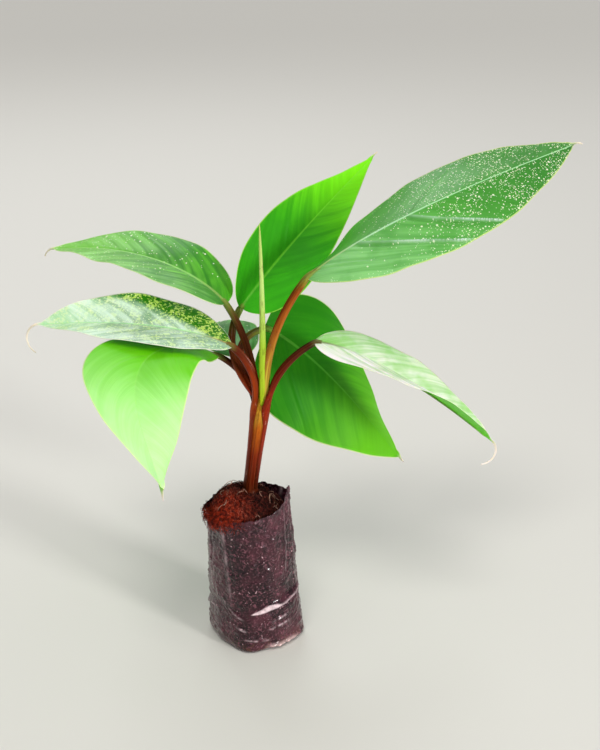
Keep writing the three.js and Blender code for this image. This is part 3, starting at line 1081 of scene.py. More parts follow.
def stem_mesh():
    """The column of packed sheaths, with a step along each sheath's edge."""

    def place(across, along, under):
        angle = 360 * across
        half_width, half_depth = stem_halves(along)
        step, margin = 0, 0
        for foot, fork, height in SHEATH_EDGES:
            away = (angle - lerp(foot, fork, along)) % 360
            step += height * math.exp(-away / 50) * smooth(away / 5)
            margin = max(margin, math.exp(-away / 14))
        flare = 0.0012 * bell(along, 0.03)
        turn = math.radians(angle)
        grain = 0.00016 * ripple(math.cos(turn) * 6, math.sin(turn) * 6, along * 3)
        out = 0.93 + (step + flare + grain) / half_width
        out *= 1 - 0.45 * smooth((along - 0.84) / 0.1)
        centre = stem_centre(along)
        x = half_width * math.cos(turn) * out
        y = half_depth * math.sin(turn) * out
        # limb_share's second value rises beside each sheath's edge, where the material paints shade
        return centre + Vector((x, y, 0)), {
            "limb_place": (x, y, centre.z),
            "limb_share": (along, OUTER_SHARE * (1 + margin) / 2, 0),
        }

    return tube(STEM_COLUMNS, STEM_ROWS, place, LIMB_LAYERS)


def sheath_group():
    """Long fibres, ribs and blotches of a sheath or petiole, in the limb's own place."""

    def wire(nodes, _):
        where = nodes.place("limb_place")

        def marks(across, along, detail, roughness=0.55):
            stretched = nodes.vector_maths("MULTIPLY", where, (across, across, along))
            return nodes.noise(stretched, 1.0, detail, roughness)

        fibres = marks(1500.0, 22.0, 3.0)
        ribs = marks(520.0, 7.0, 2.0)
        return {
            "Height": fibres * 0.4 + ribs,
            "Fibres": nodes.remap(fibres, 0.32, 0.68),
            "Ribs": nodes.remap(ribs, 0.34, 0.66),
            "Blotches": nodes.remap(marks(260.0, 60.0, 4.0, 0.7), 0.5, 0.68),
            "Scars": nodes.remap(marks(300.0, 110.0, 5.0, 0.75), 0.62, 0.7),
        }

    return node_group("sheath surface", {}, wire)


# Slot and colours of each limb: share -1 at the foot of its sheath, 0 at the fork, 1 at the blade and
# 2 at the blade's tip. The stem runs from 0 to 1. A word is one of the stem's own colours.
LIMB_LOOKS = {
    "pseudostem": ("sheath", [(-1, "4a0c04"), (0, "4e1006"), (0.4, "7e2206"), (0.68, "orange"),
                              (0.80, "c8902a"), (1, "d8a62c")]),
    "spear": ("spear", [(-1, "a4c010"), (0, "spear"), (1, "c0e680"), (2, "b8cc6c")]),
    "right_upper": ("petiole_orange", [(-1, "b8a82c"), (0.10, "c2b03a"), (0.38, "c08a30"),
                                       (0.60, "b0601c"), (0.90, "96480f"), (1.0, "9aa83c"),
                                       (1.12, "8cd07a"), (2, "a9e79a")]),
    "right_lower": ("petiole_maroon", [(-1, "2c0804"), (-0.5, "961c02"), (0, "8c1602"), (0.4, "maroon"),
                                       (0.95, "42170e"), (1.12, "8fae6a"), (2, "a8dd7c")]),
    "left_upper": ("petiole_red", [(-1, "360804"), (-0.45, "8e2002"), (0, "b4440a"), (0.6, "962c0a"),
                                   (0.95, "6b2415"), (1.1, "86a550"), (2, "9ccf7c")]),
    "left_hanging": ("petiole_maroon", [(-1, "2c0804"), (0, "maroon"), (0.9, "5a2414"),
                                        (1.12, "90c85a"), (2, "a6e27c")]),
    "back_low": ("petiole_red", [(-1, "2c0804"), (0, "red"), (0.7, "6b3a18"), (1.1, "5fae3a"),
                                 (2, "8fd05c")]),
    "back_high": ("petiole_red", [(-1, "2c0804"), (0, "red"), (0.7, "70431c"), (1.1, "66b03c"),
                                  (2, "8fdc4c")]),
    "back_left": ("petiole_maroon", [(-1, "2c0804"), (0, "maroon"), (0.8, "6b3a1c"), (1.12, "90c85a"),
                                     (2, "a6e27c")]),
    "back_middle": ("petiole_maroon", [(-1, "2c0804"), (0, "maroon"), (0.8, "5a2a18"),
                                       (1.12, "7cb84e"), (2, "9cd877")]),
}


def limb_material(title, name, roughness, dark=0.55, gloss=0.10):
    """A sheath, petiole or spear whose colour follows its length, with painted shade in its groove
    and beside each sheath's edge.
    """
    settings = bpy.context.scene.plant_stem
    stops = [((place + 1) / 3, getattr(settings, code, code)) for place, code in LIMB_LOOKS[name][1]]

    def build(nodes):
        share, across, _ = nodes.attribute("limb_share")
        surface = place_group(nodes, sheath_group())
        at = (share + 1.0) * (1 / 3) + (surface["Ribs"] - 0.5) * 0.03
        base = nodes.ramp(at, stops)
        darker = nodes.mix(1.0, base, (0.30, 0.17, 0.16), "MULTIPLY")
        base = nodes.mix(surface["Ribs"] * dark, base, darker)
        base = nodes.mix(surface["Blotches"] * 0.55, base, darker)
        # Painted shade in a petiole's groove and along its lips, and beside each sheath's edge, fading
        # out at the blade
        margin = nodes.remap(abs(across - OUTER_SHARE / 2), 0.16, OUTER_SHARE / 2)
        base = nodes.mix(margin * nodes.remap(share, 0.85, 1.1, 0.75, 0.0), base, darker)
        base = nodes.mix(surface["Fibres"] * 0.16, base, nodes.mix(0.4, base, "e08a48"))
        scar = nodes.mix(nodes.remap(share, 0.3, 0.6), "c68c7c", "4a2413")
        return {
            "Base Color": nodes.mix(surface["Scars"] * 0.55, base, scar),
            "Roughness": nodes.remap(surface["Fibres"], 0.0, 1.0, roughness, roughness + 0.14),
            "Normal": nodes.bump(surface["Height"], 0.0004),
            "Specular IOR Level": gloss,
            "Specular Tint": (1.0, 0.72, 0.5),
            "Coat Weight": 0.06,
            "Coat Roughness": 0.16,
        }

    return material(title, build)


# Petioles

PETIOLE_SIDES = 40
PETIOLE_RING_SPACING = 0.0017
SHEATH_WALL = 0.0011
# Where a sheath lies, as a share of the stem's radius, and how far up the stem it follows its width
SHEATH_SEAT = 0.95
SHEATH_TOP = 0.92
# Degrees to each side that a petiole and a midrib close round, and the depth of the groove above
PETIOLE_WRAP = 138
RIB_WRAP = 105
GROOVE = 0.55
# Share of the blade where its midrib ends
RIB_END = 0.96
# How far below and above the fork a sheath turns into a petiole
FREE_FROM = -0.024
FREE_TO = 0.014


def ellipse_reach(half_width, half_depth, heading):
    """Radius of the stem's section in a heading."""
    turn = math.radians(heading)
    return 1 / math.hypot(math.cos(turn) / half_width, math.sin(turn) / half_depth)


def petiole_mesh(leaf):
    """A leaf's sheath on the stem, its petiole, grooved above, and the midrib under its blade."""
    path = petiole_path(leaf)
    rib = blade_path(leaf)
    start = path.at(0)
    below, layer, wrap_low, wrap_top = leaf["sheath"]
    bottom = max(-below, FOOT.z + 0.0005 - start.z)
    half_blade = bpy.context.scene.plant_leaves.thickness / 2
    total = leaf["petiole"] + leaf["blade"] * RIB_END - bottom
    heading = leaf["petiole_heading"]

    def stalk_ring(run):
        """The sheath and the petiole, at a distance from the fork."""
        share = max(run / leaf["petiole"], 0)
        forward, side, up = path.axes(min(share, 1))
        centre = path.at(share) + forward * min(run, 0)
        radius = lerp(*leaf["radius"], share)
        level = (start.z + run - FOOT.z) / (FORK.z - FOOT.z)
        half_width, half_depth = stem_halves(min(level, SHEATH_TOP))
        free = smooth((run - FREE_FROM) / (FREE_TO - FREE_FROM))
        open_part = smooth((run + 0.004) / 0.040)
        out = layer * smooth((run - bottom) / 0.004)
        deep, wide = (
            lerp(ellipse_reach(half_width, half_depth, towards) * SHEATH_SEAT + out, radius, free)
            for towards in (heading, heading + 90)
        )
        foot_wrap = lerp(wrap_low, wrap_top, smooth((level - 0.72) / 0.22))
        wrap = lerp(foot_wrap, PETIOLE_WRAP, open_part)
        return stem_centre(level).lerp(centre, free), side, up, wide, deep, wrap, open_part, GROOVE, share

    def rib_ring(share):
        """The midrib, sunk until only its underside shows."""
        _, side, up = rib.axes(share, lerp(*leaf["roll"], share))
        radius = rib_radius(leaf, share)
        sunk = smooth(share / 0.06)
        centre = rib.at(share) - up * (sunk * (half_blade + 0.0004 + radius * 0.22))
        wrap = lerp(PETIOLE_WRAP, RIB_WRAP, sunk)
        return centre, side, up, radius, radius, wrap, 1, GROOVE * (1 - sunk), 1 + share

    @functools.lru_cache(maxsize=None)
    def ring(along):
        run = bottom + along * total
        if run < leaf["petiole"]:
            return run, *stalk_ring(run)
        return run, *rib_ring((run - leaf["petiole"]) / leaf["blade"])

    def place(across, along, under):
        run, centre, side, up, wide, deep, wrap, filled, groove, share = ring(along)
        edge = math.radians(wrap)
        if across < OUTER_SHARE:
            turn = edge * (2 * across / OUTER_SHARE - 1)
            out, aside = deep * math.cos(turn), wide * math.sin(turn)
        else:
            t = 1 - 2 * (across - OUTER_SHARE) / (1 - OUTER_SHARE)
            wall = SHEATH_WALL * (1 - t ** 6)
            out = lerp((deep - wall) * math.cos(edge * t),
                       deep * (math.cos(edge) + groove * (1 - t * t)), filled)
            aside = lerp((wide - wall) * math.sin(edge * t), wide * math.sin(edge) * t, filled)
        return centre + side * aside - up * out, {
            "limb_place": (aside, out, run),
            "limb_share": (share if share > 0 else run / -bottom, across, 0),
        }

    return tube(PETIOLE_SIDES, round(total / PETIOLE_RING_SPACING), place, LIMB_LAYERS)


# Spear

SPEAR_COLUMNS = 48
SPEAR_ROWS = 140
# The free edge: the angle that it starts from, how far it winds, and its height as a share of the radius
SPEAR_EDGE_ANGLE = -118
SPEAR_EDGE_WIND = -210
SPEAR_EDGE_STEP = 0.16
SPEAR_BOW = 0.0016


def spear_mesh():
    """The rolled leaf: a taper whose free edge winds up it as a step."""
    start = FORK.copy()
    start.z -= SPEAR_SINK

    def place(across, along, under):
        angle = 360 * across
        turn = math.radians(angle)
        point = max(1 - ((along - 0.8) / 0.2) ** 2, 0.02) ** 0.5 if along > 0.8 else 1
        radius = lerp(SPEAR_RADIUS, SPEAR_TIP_RADIUS * 1.6, along ** 1.15) * lerp(1, point, 0.85)
        away = (angle - SPEAR_EDGE_ANGLE - SPEAR_EDGE_WIND * along) % 360
        step = SPEAR_EDGE_STEP * (1 - away / 360) * smooth(away / 7) * (1 - smooth((away - 350) / 10))
        x = radius * math.cos(turn) * (0.9 + step)
        y = radius * math.sin(turn) * (0.9 + step)
        bow = SPEAR_BOW * math.sin(math.pi * along)
        centre = start + Vector((bow - 0.0005 * along, 0, SPEAR_LENGTH * along))
        return centre + Vector((x, y, 0)), {
            "limb_place": (x, y, along * SPEAR_LENGTH),
            "limb_share": (3 * along - 1, OUTER_SHARE / 2, 0),
        }

    return tube(SPEAR_COLUMNS, SPEAR_ROWS, place, LIMB_LAYERS)


# Blades

# Fold lines of a blade that run along its side veins: where each leaves the midrib, side, and height
CREASES = {
    "right_upper": [(0.058, -1, 0.0024), (0.114, -1, 0.0022), (0.016, -1, 0.0008),
                    (0.170, -1, 0.0010), (0.120, 1, 0.0006)],
    "right_lower": [(0.030, -1, 0.0007), (0.060, 1, 0.0007)],
    "left_upper": [(0.045, 1, 0.0008), (0.085, 1, 0.0006), (0.06, -1, 0.0005)],
    "left_hanging": [(0.05, 1, 0.0003), (0.09, -1, 0.0003)],
    "back_low": [(0.02, -1, 0.0006), (0.055, 1, 0.0006)],
    "back_high": [(0.04, -1, 0.0005), (0.08, 1, 0.0005)],
    "back_left": [(0.05, 1, 0.0006), (0.07, -1, 0.0006)],
    "back_middle": [(0.04, 1, 0.0006), (0.08, -1, 0.0006)],
}
# Creases higher than this also get a painted highlight along their ridge and painted shade in the hollow
# beside it
MARKED_CREASE = 0.0015
# Half the width of the thin tail that draws out the tip
TAIL_HALF_WIDTH = 0.0025
# Degrees that the two sides of the tip fold up
TIP_FOLD = 68
# Distance between the margin's waves
WAVE_LENGTH = 0.074
# How far the whole side sways up and down, and the depth of the furrow over the midrib
BLADE_SWAY = 0.0022
RIB_FURROW = 0.00045
# How much closer the mesh's lines lie along a blade than across it
ROW_DENSITY = 1.15
LEAF_LAYERS = ("leaf_place", "leaf_grain", "leaf_creases")


def vein_place(along, off, leaf):
    """Where on the midrib the side vein through a point starts. It leans forward further out."""
    return along - off - 0.73 * off * off / leaf["half_width"]


def blade_mesh(name, leaf, look, settings):
    """A blade by the source's rule, with pleats, creases, waving margins and a drip tip."""
    path = blade_path(leaf)
    length = leaf["blade"]
    reach = 1 + leaf["tail"][0] / length
    seed = sorted(LEAVES).index(name) * 3.7
    rows = round(length * reach / settings.spacing * ROW_DENSITY)
    columns = 2 * round(leaf["half_width"] / settings.spacing)

    @functools.lru_cache(maxsize=None)
    def row(along):
        eased = lerp(along, (1 - math.cos(math.pi * along)) / 2, 0.45)
        share = eased * reach
        held = min(share, 1)
        _, side, up = path.axes(share, lerp(*leaf["roll"], held))
        beyond = max(share - 1, 0) / max(reach - 1, 1e-6)
        fold = lerp(*leaf["fold"], held)
        fold = lerp(fold, TIP_FOLD, smooth((share - 0.965) / (reach - 0.965) * 1.8))
        base = leaf["radius"][1] * (1 - smooth((share - 0.3) / 0.2))
        tail = TAIL_HALF_WIDTH * smooth((share - 0.55) / 0.3) * (1 - 0.6 * beyond)
        floor = max(base, tail, 0.0003)
        width = (((leaf["half_width"] * outline(share, leaf)) ** 3) + floor ** 3) ** (1 / 3)
        return share, path.at(share), side, up, width, math.radians(fold)

    def relief(share, off, edge, sign, width):
        run = share * length
        vein = vein_place(run, off, leaf)
        open_part = smooth(off / 0.009) * smooth(edge / 0.004)
        height = settings.pleat * open_part * math.sin(2 * math.pi * vein / settings.vein_spacing)
        slow = ripple(vein * 75, seed, sign * 4)
        height += settings.swell * look["swell"] * open_part * slow
        ridge = hollow = 0
        for at, crease_side, rise in CREASES[name]:
            if crease_side == sign:
                away = vein - at
                along = smooth(off / 0.006) * smooth(edge / 0.006)
                crest, dip = along * bell(away, 0.0022), along * bell(away + 0.0042, 0.0034)
                height += rise * (crest - 0.6 * dip)
                if rise > MARKED_CREASE:
                    # Where the material paints a highlight on the ridge and shade in the hollow
                    ridge += along * bell(away, 0.0018)
                    hollow += dip
        free = (off / max(width, 1e-6)) ** 2 * smooth(width / 0.012)
        wave = math.sin(2 * math.pi * run / WAVE_LENGTH + seed + sign) * 0.6
        wave += ripple(run * 34, sign * 3, seed) * 1.3
        height += settings.wave * free * wave
        sway = ripple(run * 14, off * sign * 16, seed + 9)
        height += BLADE_SWAY * sway * smooth(off / 0.02)
        height -= RIB_FURROW * look["rib_amount"] * bell(off, 0.0013) * smooth(width / 0.006)
        return height, vein, ridge, hollow

    def place(across, along, under):
        share, centre, side, up, width, fold = row(along)
        t = 1 - 2 * across
        a = t * lerp(1, abs(t), 0.35)
        off, edge = width * abs(a), width * (1 - abs(a))
        sign = 1 if a > 0 else -1
        height, vein, ridge, hollow = relief(share, off, edge, sign, width)
        lift = width * (abs(a) * math.sin(fold) - BLADE_CAMBER * a * a) + height
        thick = settings.thickness * lerp(1, 0.6, a * a)
        lift += thick * (-0.5 if under else 0.5)
        point = centre + side * (width * a * math.cos(fold)) + up * lift
        return point, {
            "leaf_place": (share * length, width * a, edge),
            "leaf_grain": (vein, under, share),
            "leaf_creases": (ridge, hollow, 0),
        }

    bm = grid(columns, rows, LEAF_LAYERS)
    shape(bm, place)
    count = len(bm.verts)
    bmesh.ops.solidify(bm, geom=bm.faces, thickness=settings.thickness)
    bm.verts.ensure_lookup_table()
    cell = bm.verts.layers.float_vector["cell"]
    for vert in bm.verts[count:]:
        vert[cell].z = 1
    shape(bm, place)
    bmesh.ops.recalc_face_normals(bm, faces=bm.faces)
    return mesh_of(bm)


# Sizes of specks: how many to a metre, smallest and largest radius, and how often they show
SPECKS = [(150.0, 0.06, 0.19, 0.65), (300.0, 0.10, 0.25, 0.95), (560.0, 0.14, 0.32, 0.6)]
# How far a speck stands out beside the fine veins
SPECK_RELIEF = 0.5
MARGIN_WIDTH = 0.0016


def leaf_group():
    """Veins, streaks, specks, blotches, midrib and margin of a blade, in the blade's own place."""

    def wire(nodes, entry):
        along, side, edge = nodes.attribute("leaf_place")
        vein, under, share = nodes.attribute("leaf_grain")
        ridge, hollow, _ = nodes.attribute("leaf_creases")
        off = abs(side)
        top = 1.0 - under
        fine = nodes.noise(nodes.vector(vein * 1150.0, side * 24.0), 1.0, 2.0)
        streaks = nodes.noise(nodes.vector(vein * 75.0, side * 14.0, 3.0), 1.0, 3.5)
        flat = nodes.vector(along, side)
        patch = nodes.noise(flat, 38.0, 3.0, 0.6, 0.6)
        crowd = entry["Specks"] * nodes.remap(patch, 0.34, 0.62, 0.3, 1.5)
        grow = nodes.remap(share, entry["Speck start"], 0.8, 0.0, 1.0)
        crowd *= grow + nodes.remap(edge, 0.0, 0.010, 0.5, 0.0)
        specks = 0.0
        for scale, small, large, chance in SPECKS:
            distance, lot = nodes.cells(flat, scale, voronoi_dimensions="2D")
            dot = nodes.remap(nodes.remap(lot[1], 0.0, 1.0, small, large) - distance, -0.02, 0.08)
            dot *= nodes.maths("LESS_THAN", lot[0], crowd * chance)
            specks = nodes.maths("MAXIMUM", specks, dot)
        field = nodes.noise(flat, 85.0, 3.0, 0.6, 0.5)
        level = nodes.noise(flat, 340.0, 2.5, 0.6) + (field - 0.5) * 0.9
        limit = nodes.remap(entry["Blotches"], 0.0, 1.0, 0.95, 0.44)
        rib_width = nodes.remap(share, 0.0, 0.8, 0.0019, 0.0006)
        return {
            "Height": fine + specks * SPECK_RELIEF,
            "Fine veins": nodes.remap(fine, 0.35, 0.65),
            "Streaks": nodes.remap(streaks, 0.34, 0.66),
            "Mottle": nodes.remap(nodes.noise(flat, 26.0, 3.0), 0.32, 0.68),
            "Specks": specks * top,
            "Blotches": nodes.remap(level - limit, -0.01, 0.05) * top,
            "Midrib": nodes.remap(off / rib_width, 0.45, 1.2, 1.0, 0.0),
            "Margin": nodes.remap(edge, 0.0002, MARGIN_WIDTH, 1.0, 0.0),
            "Underside": under,
            "Share": share,
            "Side": side,
            "Across": off / (off + edge),
            # Where a highlight and a shade are painted along the marked creases
            "Ridge": ridge * top,
            "Hollow": hollow * top,
        }

    inputs = {"Specks": 0.0, "Speck start": 0.1, "Blotches": 0.0}
    return node_group("leaf surface", inputs, wire)


# How each blade is coloured, where it isn't as in PLAIN_LOOK. Each sheen is a painted reflection of the
# sky, over a real waxy bloom, on one side of the midrib: its amount, how steeply its edge runs out to the
# margin, where it starts and is full along the blade, and how much of it keeps to the margin. sheen_near
# is the side that the viewer sees, and stands for both sides where there is no sheen_far.
PLAIN_LOOK = dict(
    deep="green", sheen_far=None, sheen_streak=1.0, specks=0.0, speck_start=0.1, speck_colour="ffffff",
    blotches=0.0, blotch_colour="ffffff", streak=0.8,
)
LEAF_LOOKS = {
    "right_upper": dict(
        slot="leaf_spotted", deep="blue_green", bright="5eba3a", tip="2e6e2c", tip_from=0.35,
        tip_amount=0.7, sheen_near=(0.66, 0.2, 0.55, 0.0, 0.0), sheen_far=(0.12, 0.9, -0.2, 0.1, 0.0),
        sheen_colour="a2e094", specks=0.55, speck_start=0.12, speck_colour="f4f8da", blotches=0.24,
        blotch_colour="dff5ea", rib_base="a8c060", rib="b4ecb0", margin="cfe08a", under="5fae58",
        streak=0.3, rib_amount=0.8, swell=0.35, glow=0.16, roughness=0.36, shine=0.18,
    ),
    "right_lower": dict(
        slot="leaf_pale_sheen", deep="lime", bright="8cd45c", tip="7cd83a", tip_from=0.6,
        tip_amount=0.4, sheen_near=(1.15, 0.0, -0.3, -0.1, 0.2),
        sheen_far=(0.62, -0.3, -0.1, 0.4, -0.25), sheen_colour="f7eff2", blotches=0.12,
        blotch_colour="f4f7f2", rib_base="6e4a50", rib="cfe6c0", margin="f3ead9", under="66e000",
        streak=0.9, rib_amount=0.6, swell=0.6, glow=0.25, roughness=0.36, shine=0.35,
    ),
    "left_upper": dict(
        slot="leaf_spotted", bright="3c7c12", tip="8fd87a", tip_from=0.5, tip_amount=0.9,
        sheen_near=(0.9, 0.0, -0.3, -0.1, 0.0), sheen_far=(0.92, 0.62, 0.02, 0.2, 0.0),
        sheen_colour="def6e2", specks=0.35, speck_start=-0.3, speck_colour="e6efae", blotches=0.72,
        blotch_colour="c8e46c", rib_base="9a7a48", rib="a8e69a", margin="f2efe0", under="7cc45a",
        rib_amount=0.75, swell=0.7, glow=0.15, roughness=0.34, shine=0.35,
    ),
    "left_hanging": dict(
        slot="leaf_lime", deep="lime", bright="62c800", tip="a8f074", tip_from=0.3, tip_amount=0.9,
        sheen_near=(0.8, 0.0, 0.4, 0.85, 0.0), sheen_colour="c6f8b4", sheen_streak=0.4,
        rib_base="8ac84a", rib="a6ee72", margin="e6f0b0", under="84d844", streak=0.14,
        rib_amount=0.15, swell=0.5, glow=0.3, roughness=0.45, shine=0.12,
    ),
    "back_low": dict(
        slot="leaf_green", bright="349008", tip="6ac40e", tip_from=0.3, tip_amount=0.9,
        sheen_near=(0.06, 0.0, 0.0, 1.0, 0.0), sheen_colour="8ecf6c", blotch_colour="dff0c0",
        rib_base="6fae44", rib="5fb83a", margin="e6efb0", under="5fae3a", streak=0.36,
        rib_amount=0.5, swell=0.6, glow=0.2, roughness=0.5, shine=0.1,
    ),
    # back_high's lime tip is painted light that shines through the blade
    "back_high": dict(
        slot="leaf_green", bright="3cb40a", tip="84f800", tip_from=0.4, tip_amount=0.95,
        sheen_near=(0.05, 0.0, 0.0, 1.0, 0.0), sheen_colour="8ecf6c", blotch_colour="dff0c0",
        rib_base="6fb040", rib="86e83c", margin="9fd84e", under="64b83a", streak=0.28,
        rib_amount=0.4, swell=0.4, glow=0.22, roughness=0.5, shine=0.1,
    ),
    "back_left": dict(
        slot="leaf_lime", bright="5cb424", tip="84d648", tip_from=0.3, tip_amount=0.8,
        sheen_near=(0.28, 0.0, -0.3, 0.2, 0.3), sheen_far=(0.12, 0.4, 0.0, 0.4, 0.0),
        sheen_colour="c4ecac", specks=0.12, speck_start=0.0, speck_colour="eef6d8",
        rib_base="98b45c", rib="9fdc78", margin="e2f0b4", under="74c044", rib_amount=0.7, swell=1.0,
        glow=0.2, roughness=0.38, shine=0.25,
    ),
    "back_middle": dict(
        slot="leaf_green", bright="4fae28", tip="6fc834", tip_from=0.4, tip_amount=0.7,
        sheen_near=(0.3, 0.0, 0.0, 0.8, 0.0), sheen_colour="b4dca4", specks=0.15, speck_start=0.0,
        speck_colour="e4efc8", rib_base="8fb458", rib="8fd46c", margin="cbe896", under="64b044",
        rib_amount=0.6, swell=1.0, glow=0.2, roughness=0.4, shine=0.25,
    ),
}


def sheen_mask(nodes, surface, amount, slope, start, full, keeps):
    """The painted sheen of one side, over its waxy bloom: where it starts along the blade, and how much
    of it keeps to the margin.
    """
    across = surface["Across"]
    cover = nodes.remap(surface["Share"] - across * slope, start, full) * amount
    return cover * nodes.remap(across, 0.15, 0.95, 1.0 - keeps, 1.0)


def blade_material(name, leaf, look, settings):
    """A blade's own green, with its specks, blotches, pale midrib and thin margin, a painted sheen
    over its waxy bloom, and painted highlights and shade along its creases.
    """

    def build(nodes):
        surface = place_group(
            nodes, leaf_group(), Specks=look["specks"], Speck_start=look["speck_start"],
            Blotches=look["blotches"],
        )
        share, across, streaks = surface["Share"], surface["Across"], surface["Streaks"]
        mottle, fine, margin = surface["Mottle"], surface["Fine veins"], surface["Margin"]
        blend = streaks * nodes.remap(mottle, 0.0, 1.0, 0.4, 1.0) * look["streak"]
        blend += 0.5 * (1 - look["streak"])
        base = nodes.mix(blend, getattr(settings, look["deep"]), look["bright"])
        towards = nodes.remap(share + (streaks - 0.5) * 0.08, look["tip_from"], 0.95)
        base = nodes.mix(towards * look["tip_amount"], base, look["tip"])
        base = nodes.mix(fine * 0.12, base, nodes.mix(1.0, base, (0.5, 0.6, 0.45), "MULTIPLY"))
        base = nodes.mix(surface["Blotches"] * 0.8, base, look["blotch_colour"])
        base = nodes.mix(surface["Specks"] * 0.85, base, look["speck_colour"])
        # Painted sheen: the sky's reflection over the waxy bloom, on each side of the midrib
        near = nodes.maths("GREATER_THAN", surface["Side"] * leaf["near"], 0.0)
        far_sheen = sheen_mask(nodes, surface, *(look["sheen_far"] or look["sheen_near"]))
        sheen = sheen_mask(nodes, surface, *look["sheen_near"]) * near + far_sheen * (1.0 - near)
        uneven = look["sheen_streak"]
        cloudy = nodes.remap(streaks, 0.0, 1.0, 1 - 0.45 * uneven, 1.0)
        cloudy *= nodes.remap(mottle, 0.0, 0.7, 1 - 0.4 * uneven, 1.0)
        sheen *= cloudy * nodes.remap(fine, 0.0, 1.0, 1.0, 0.82)
        base = nodes.mix(sheen, base, look["sheen_colour"])
        # Painted highlight along the ridge of each marked crease
        ridge_highlight = surface["Ridge"] * nodes.remap(across, 0.1, 0.9, 0.25, 1.0)
        base = nodes.mix(ridge_highlight * nodes.remap(mottle, 0.1, 0.7, 0.4, 1.0), base, look["blotch_colour"])
        # Painted shade in the hollow beside each marked crease
        dark = nodes.mix(1.0, base, (0.35, 0.5, 0.35), "MULTIPLY")
        base = nodes.mix(surface["Hollow"] * 0.32, base, dark)
        rib = nodes.mix(nodes.remap(share, 0.02, 0.26), look["rib_base"], look["rib"])
        base = nodes.mix(surface["Midrib"] * look["rib_amount"], base, rib)
        base = nodes.mix(margin * 0.8, base, look["margin"])
        under = nodes.mix(streaks * 0.35, look["under"], look["bright"])
        under = nodes.mix(margin * 0.5, under, look["margin"])
        base = nodes.mix(surface["Underside"], base, under)
        base = nodes.mix(nodes.remap(share, 0.975, 1.03), base, settings.tail)
        return {
            "Base Color": base,
            "Roughness": sheen * 0.12 + look["roughness"],
            "Specular IOR Level": look["shine"],
            "Normal": nodes.bump(surface["Height"], 0.00008, 0.7),
            "Subsurface Weight": look["glow"],
            "Subsurface Radius": (0.6, 1.0, 0.15),
            "Subsurface Scale": 0.0016,
        }

    return material("leaf " + name.replace("_", " "), build)


# Stage

CAMERA_ELEVATION = 22
CAMERA_DISTANCE = 1.40
CAMERA_AIM = (0.046, 0, 0)
CAMERA_AIM_RISE = 0.272
CAMERA_LENS_MM = 78
CAMERA_SENSOR_MM = 36
FLOOR_SIZE = 40.0
LIGHTS = {
    "key": dict(
        kind="SUN", place=(-0.20, -0.95, 1.7), aim=(0, 0, 0), energy=1.05, color=(1.0, 0.98, 0.94),
        angle=math.radians(20),
    ),
    "back_softbox": dict(
        kind="AREA", place=(-0.5, 2.4, 2.6), aim=(0, 0, 0.3), energy=26, color=(0.95, 0.98, 1.0),
        shape="RECTANGLE", size=1.6, size_y=1.0, spread=math.radians(180),
    ),
    "side_softbox": dict(
        kind="AREA", place=(2.6, -2.3, 1.15), aim=(0, 0, 0.2), energy=6.5, color=(1.0, 0.99, 0.97),
        shape="RECTANGLE", size=0.6, size_y=0.6, spread=math.radians(50),
    ),
}
# The sky's brightness from the horizon, 0, to straight up, 1, and its strength in all
SKY = [(0.0, 1.02), (0.08, 0.80), (0.2, 0.50), (0.55, 0.95), (1.0, 1.35)]
SKY_STRENGTH = 0.48


def add_camera():
    """The camera at the photograph's height, with the whole plant in its frame."""
    tilt = math.radians(CAMERA_ELEVATION)
    up = Vector((0, math.sin(tilt), math.cos(tilt)))
    ahead = Vector((0, math.cos(tilt), -math.sin(tilt)))
    data = bpy.data.cameras.new("camera")
    data.sensor_fit = "HORIZONTAL"
    data.sensor_width = CAMERA_SENSOR_MM
    data.lens = CAMERA_LENS_MM
    camera = new_object("camera", data)
    camera.location = Vector(CAMERA_AIM) + up * CAMERA_AIM_RISE - ahead * CAMERA_DISTANCE
    camera.rotation_euler = (math.radians(90) - tilt, 0, 0)
    bpy.context.scene.camera = camera


def add_light(name, kind, place, aim, **settings):
    """A soft light that faces its aim."""
    data = bpy.data.lights.new(name, kind)
    for label, value in settings.items():
        setattr(data, label, value)
    light = new_object(name, data)
    light.location = place
    light.rotation_euler = (Vector(aim) - Vector(place)).to_track_quat("-Z", "Y").to_euler()


def add_floor():
    """A plain pale floor."""
    bm = bmesh.new()
    bmesh.ops.create_grid(bm, x_segments=1, y_segments=1, size=FLOOR_SIZE / 2)
    mesh = mesh_of(bm)
    mesh.name = "floor"
    look = {"Base Color": "d8d6d0", "Roughness": 0.7}
    mesh.materials.append(material("pale floor", lambda nodes: look))
    floor = new_object("floor", mesh)


def add_world():
    """A pale soft sky, brightest overhead."""
    world = bpy.data.worlds.new("studio")
    world.use_nodes = True
    nodes = Nodes(world.node_tree)
    height = nodes.parts(nodes.out(nodes.add("ShaderNodeTexCoord", {}), "Generated"))[2]
    backdrop = world.node_tree.nodes["Background"]
    top = SKY[-1][1]
    nodes.feed(backdrop.inputs["Color"], nodes.ramp(height, [(at, value / top) for at, value in SKY]))
    nodes.feed(backdrop.inputs["Strength"], top * SKY_STRENGTH)
    bpy.context.scene.world = world


# Operators


class PLANT_OT_grow_bag(bpy.types.Operator):
    """Build the black film bag"""

    bl_idname = "plant.grow_bag"
    bl_label = "Grow bag"

    def execute(self, context):
        settings = context.scene.plant_bag
        add_piece("grow_bag_film", film_mesh(settings), film_material(settings), ["grow_bag"])
        return {"FINISHED"}


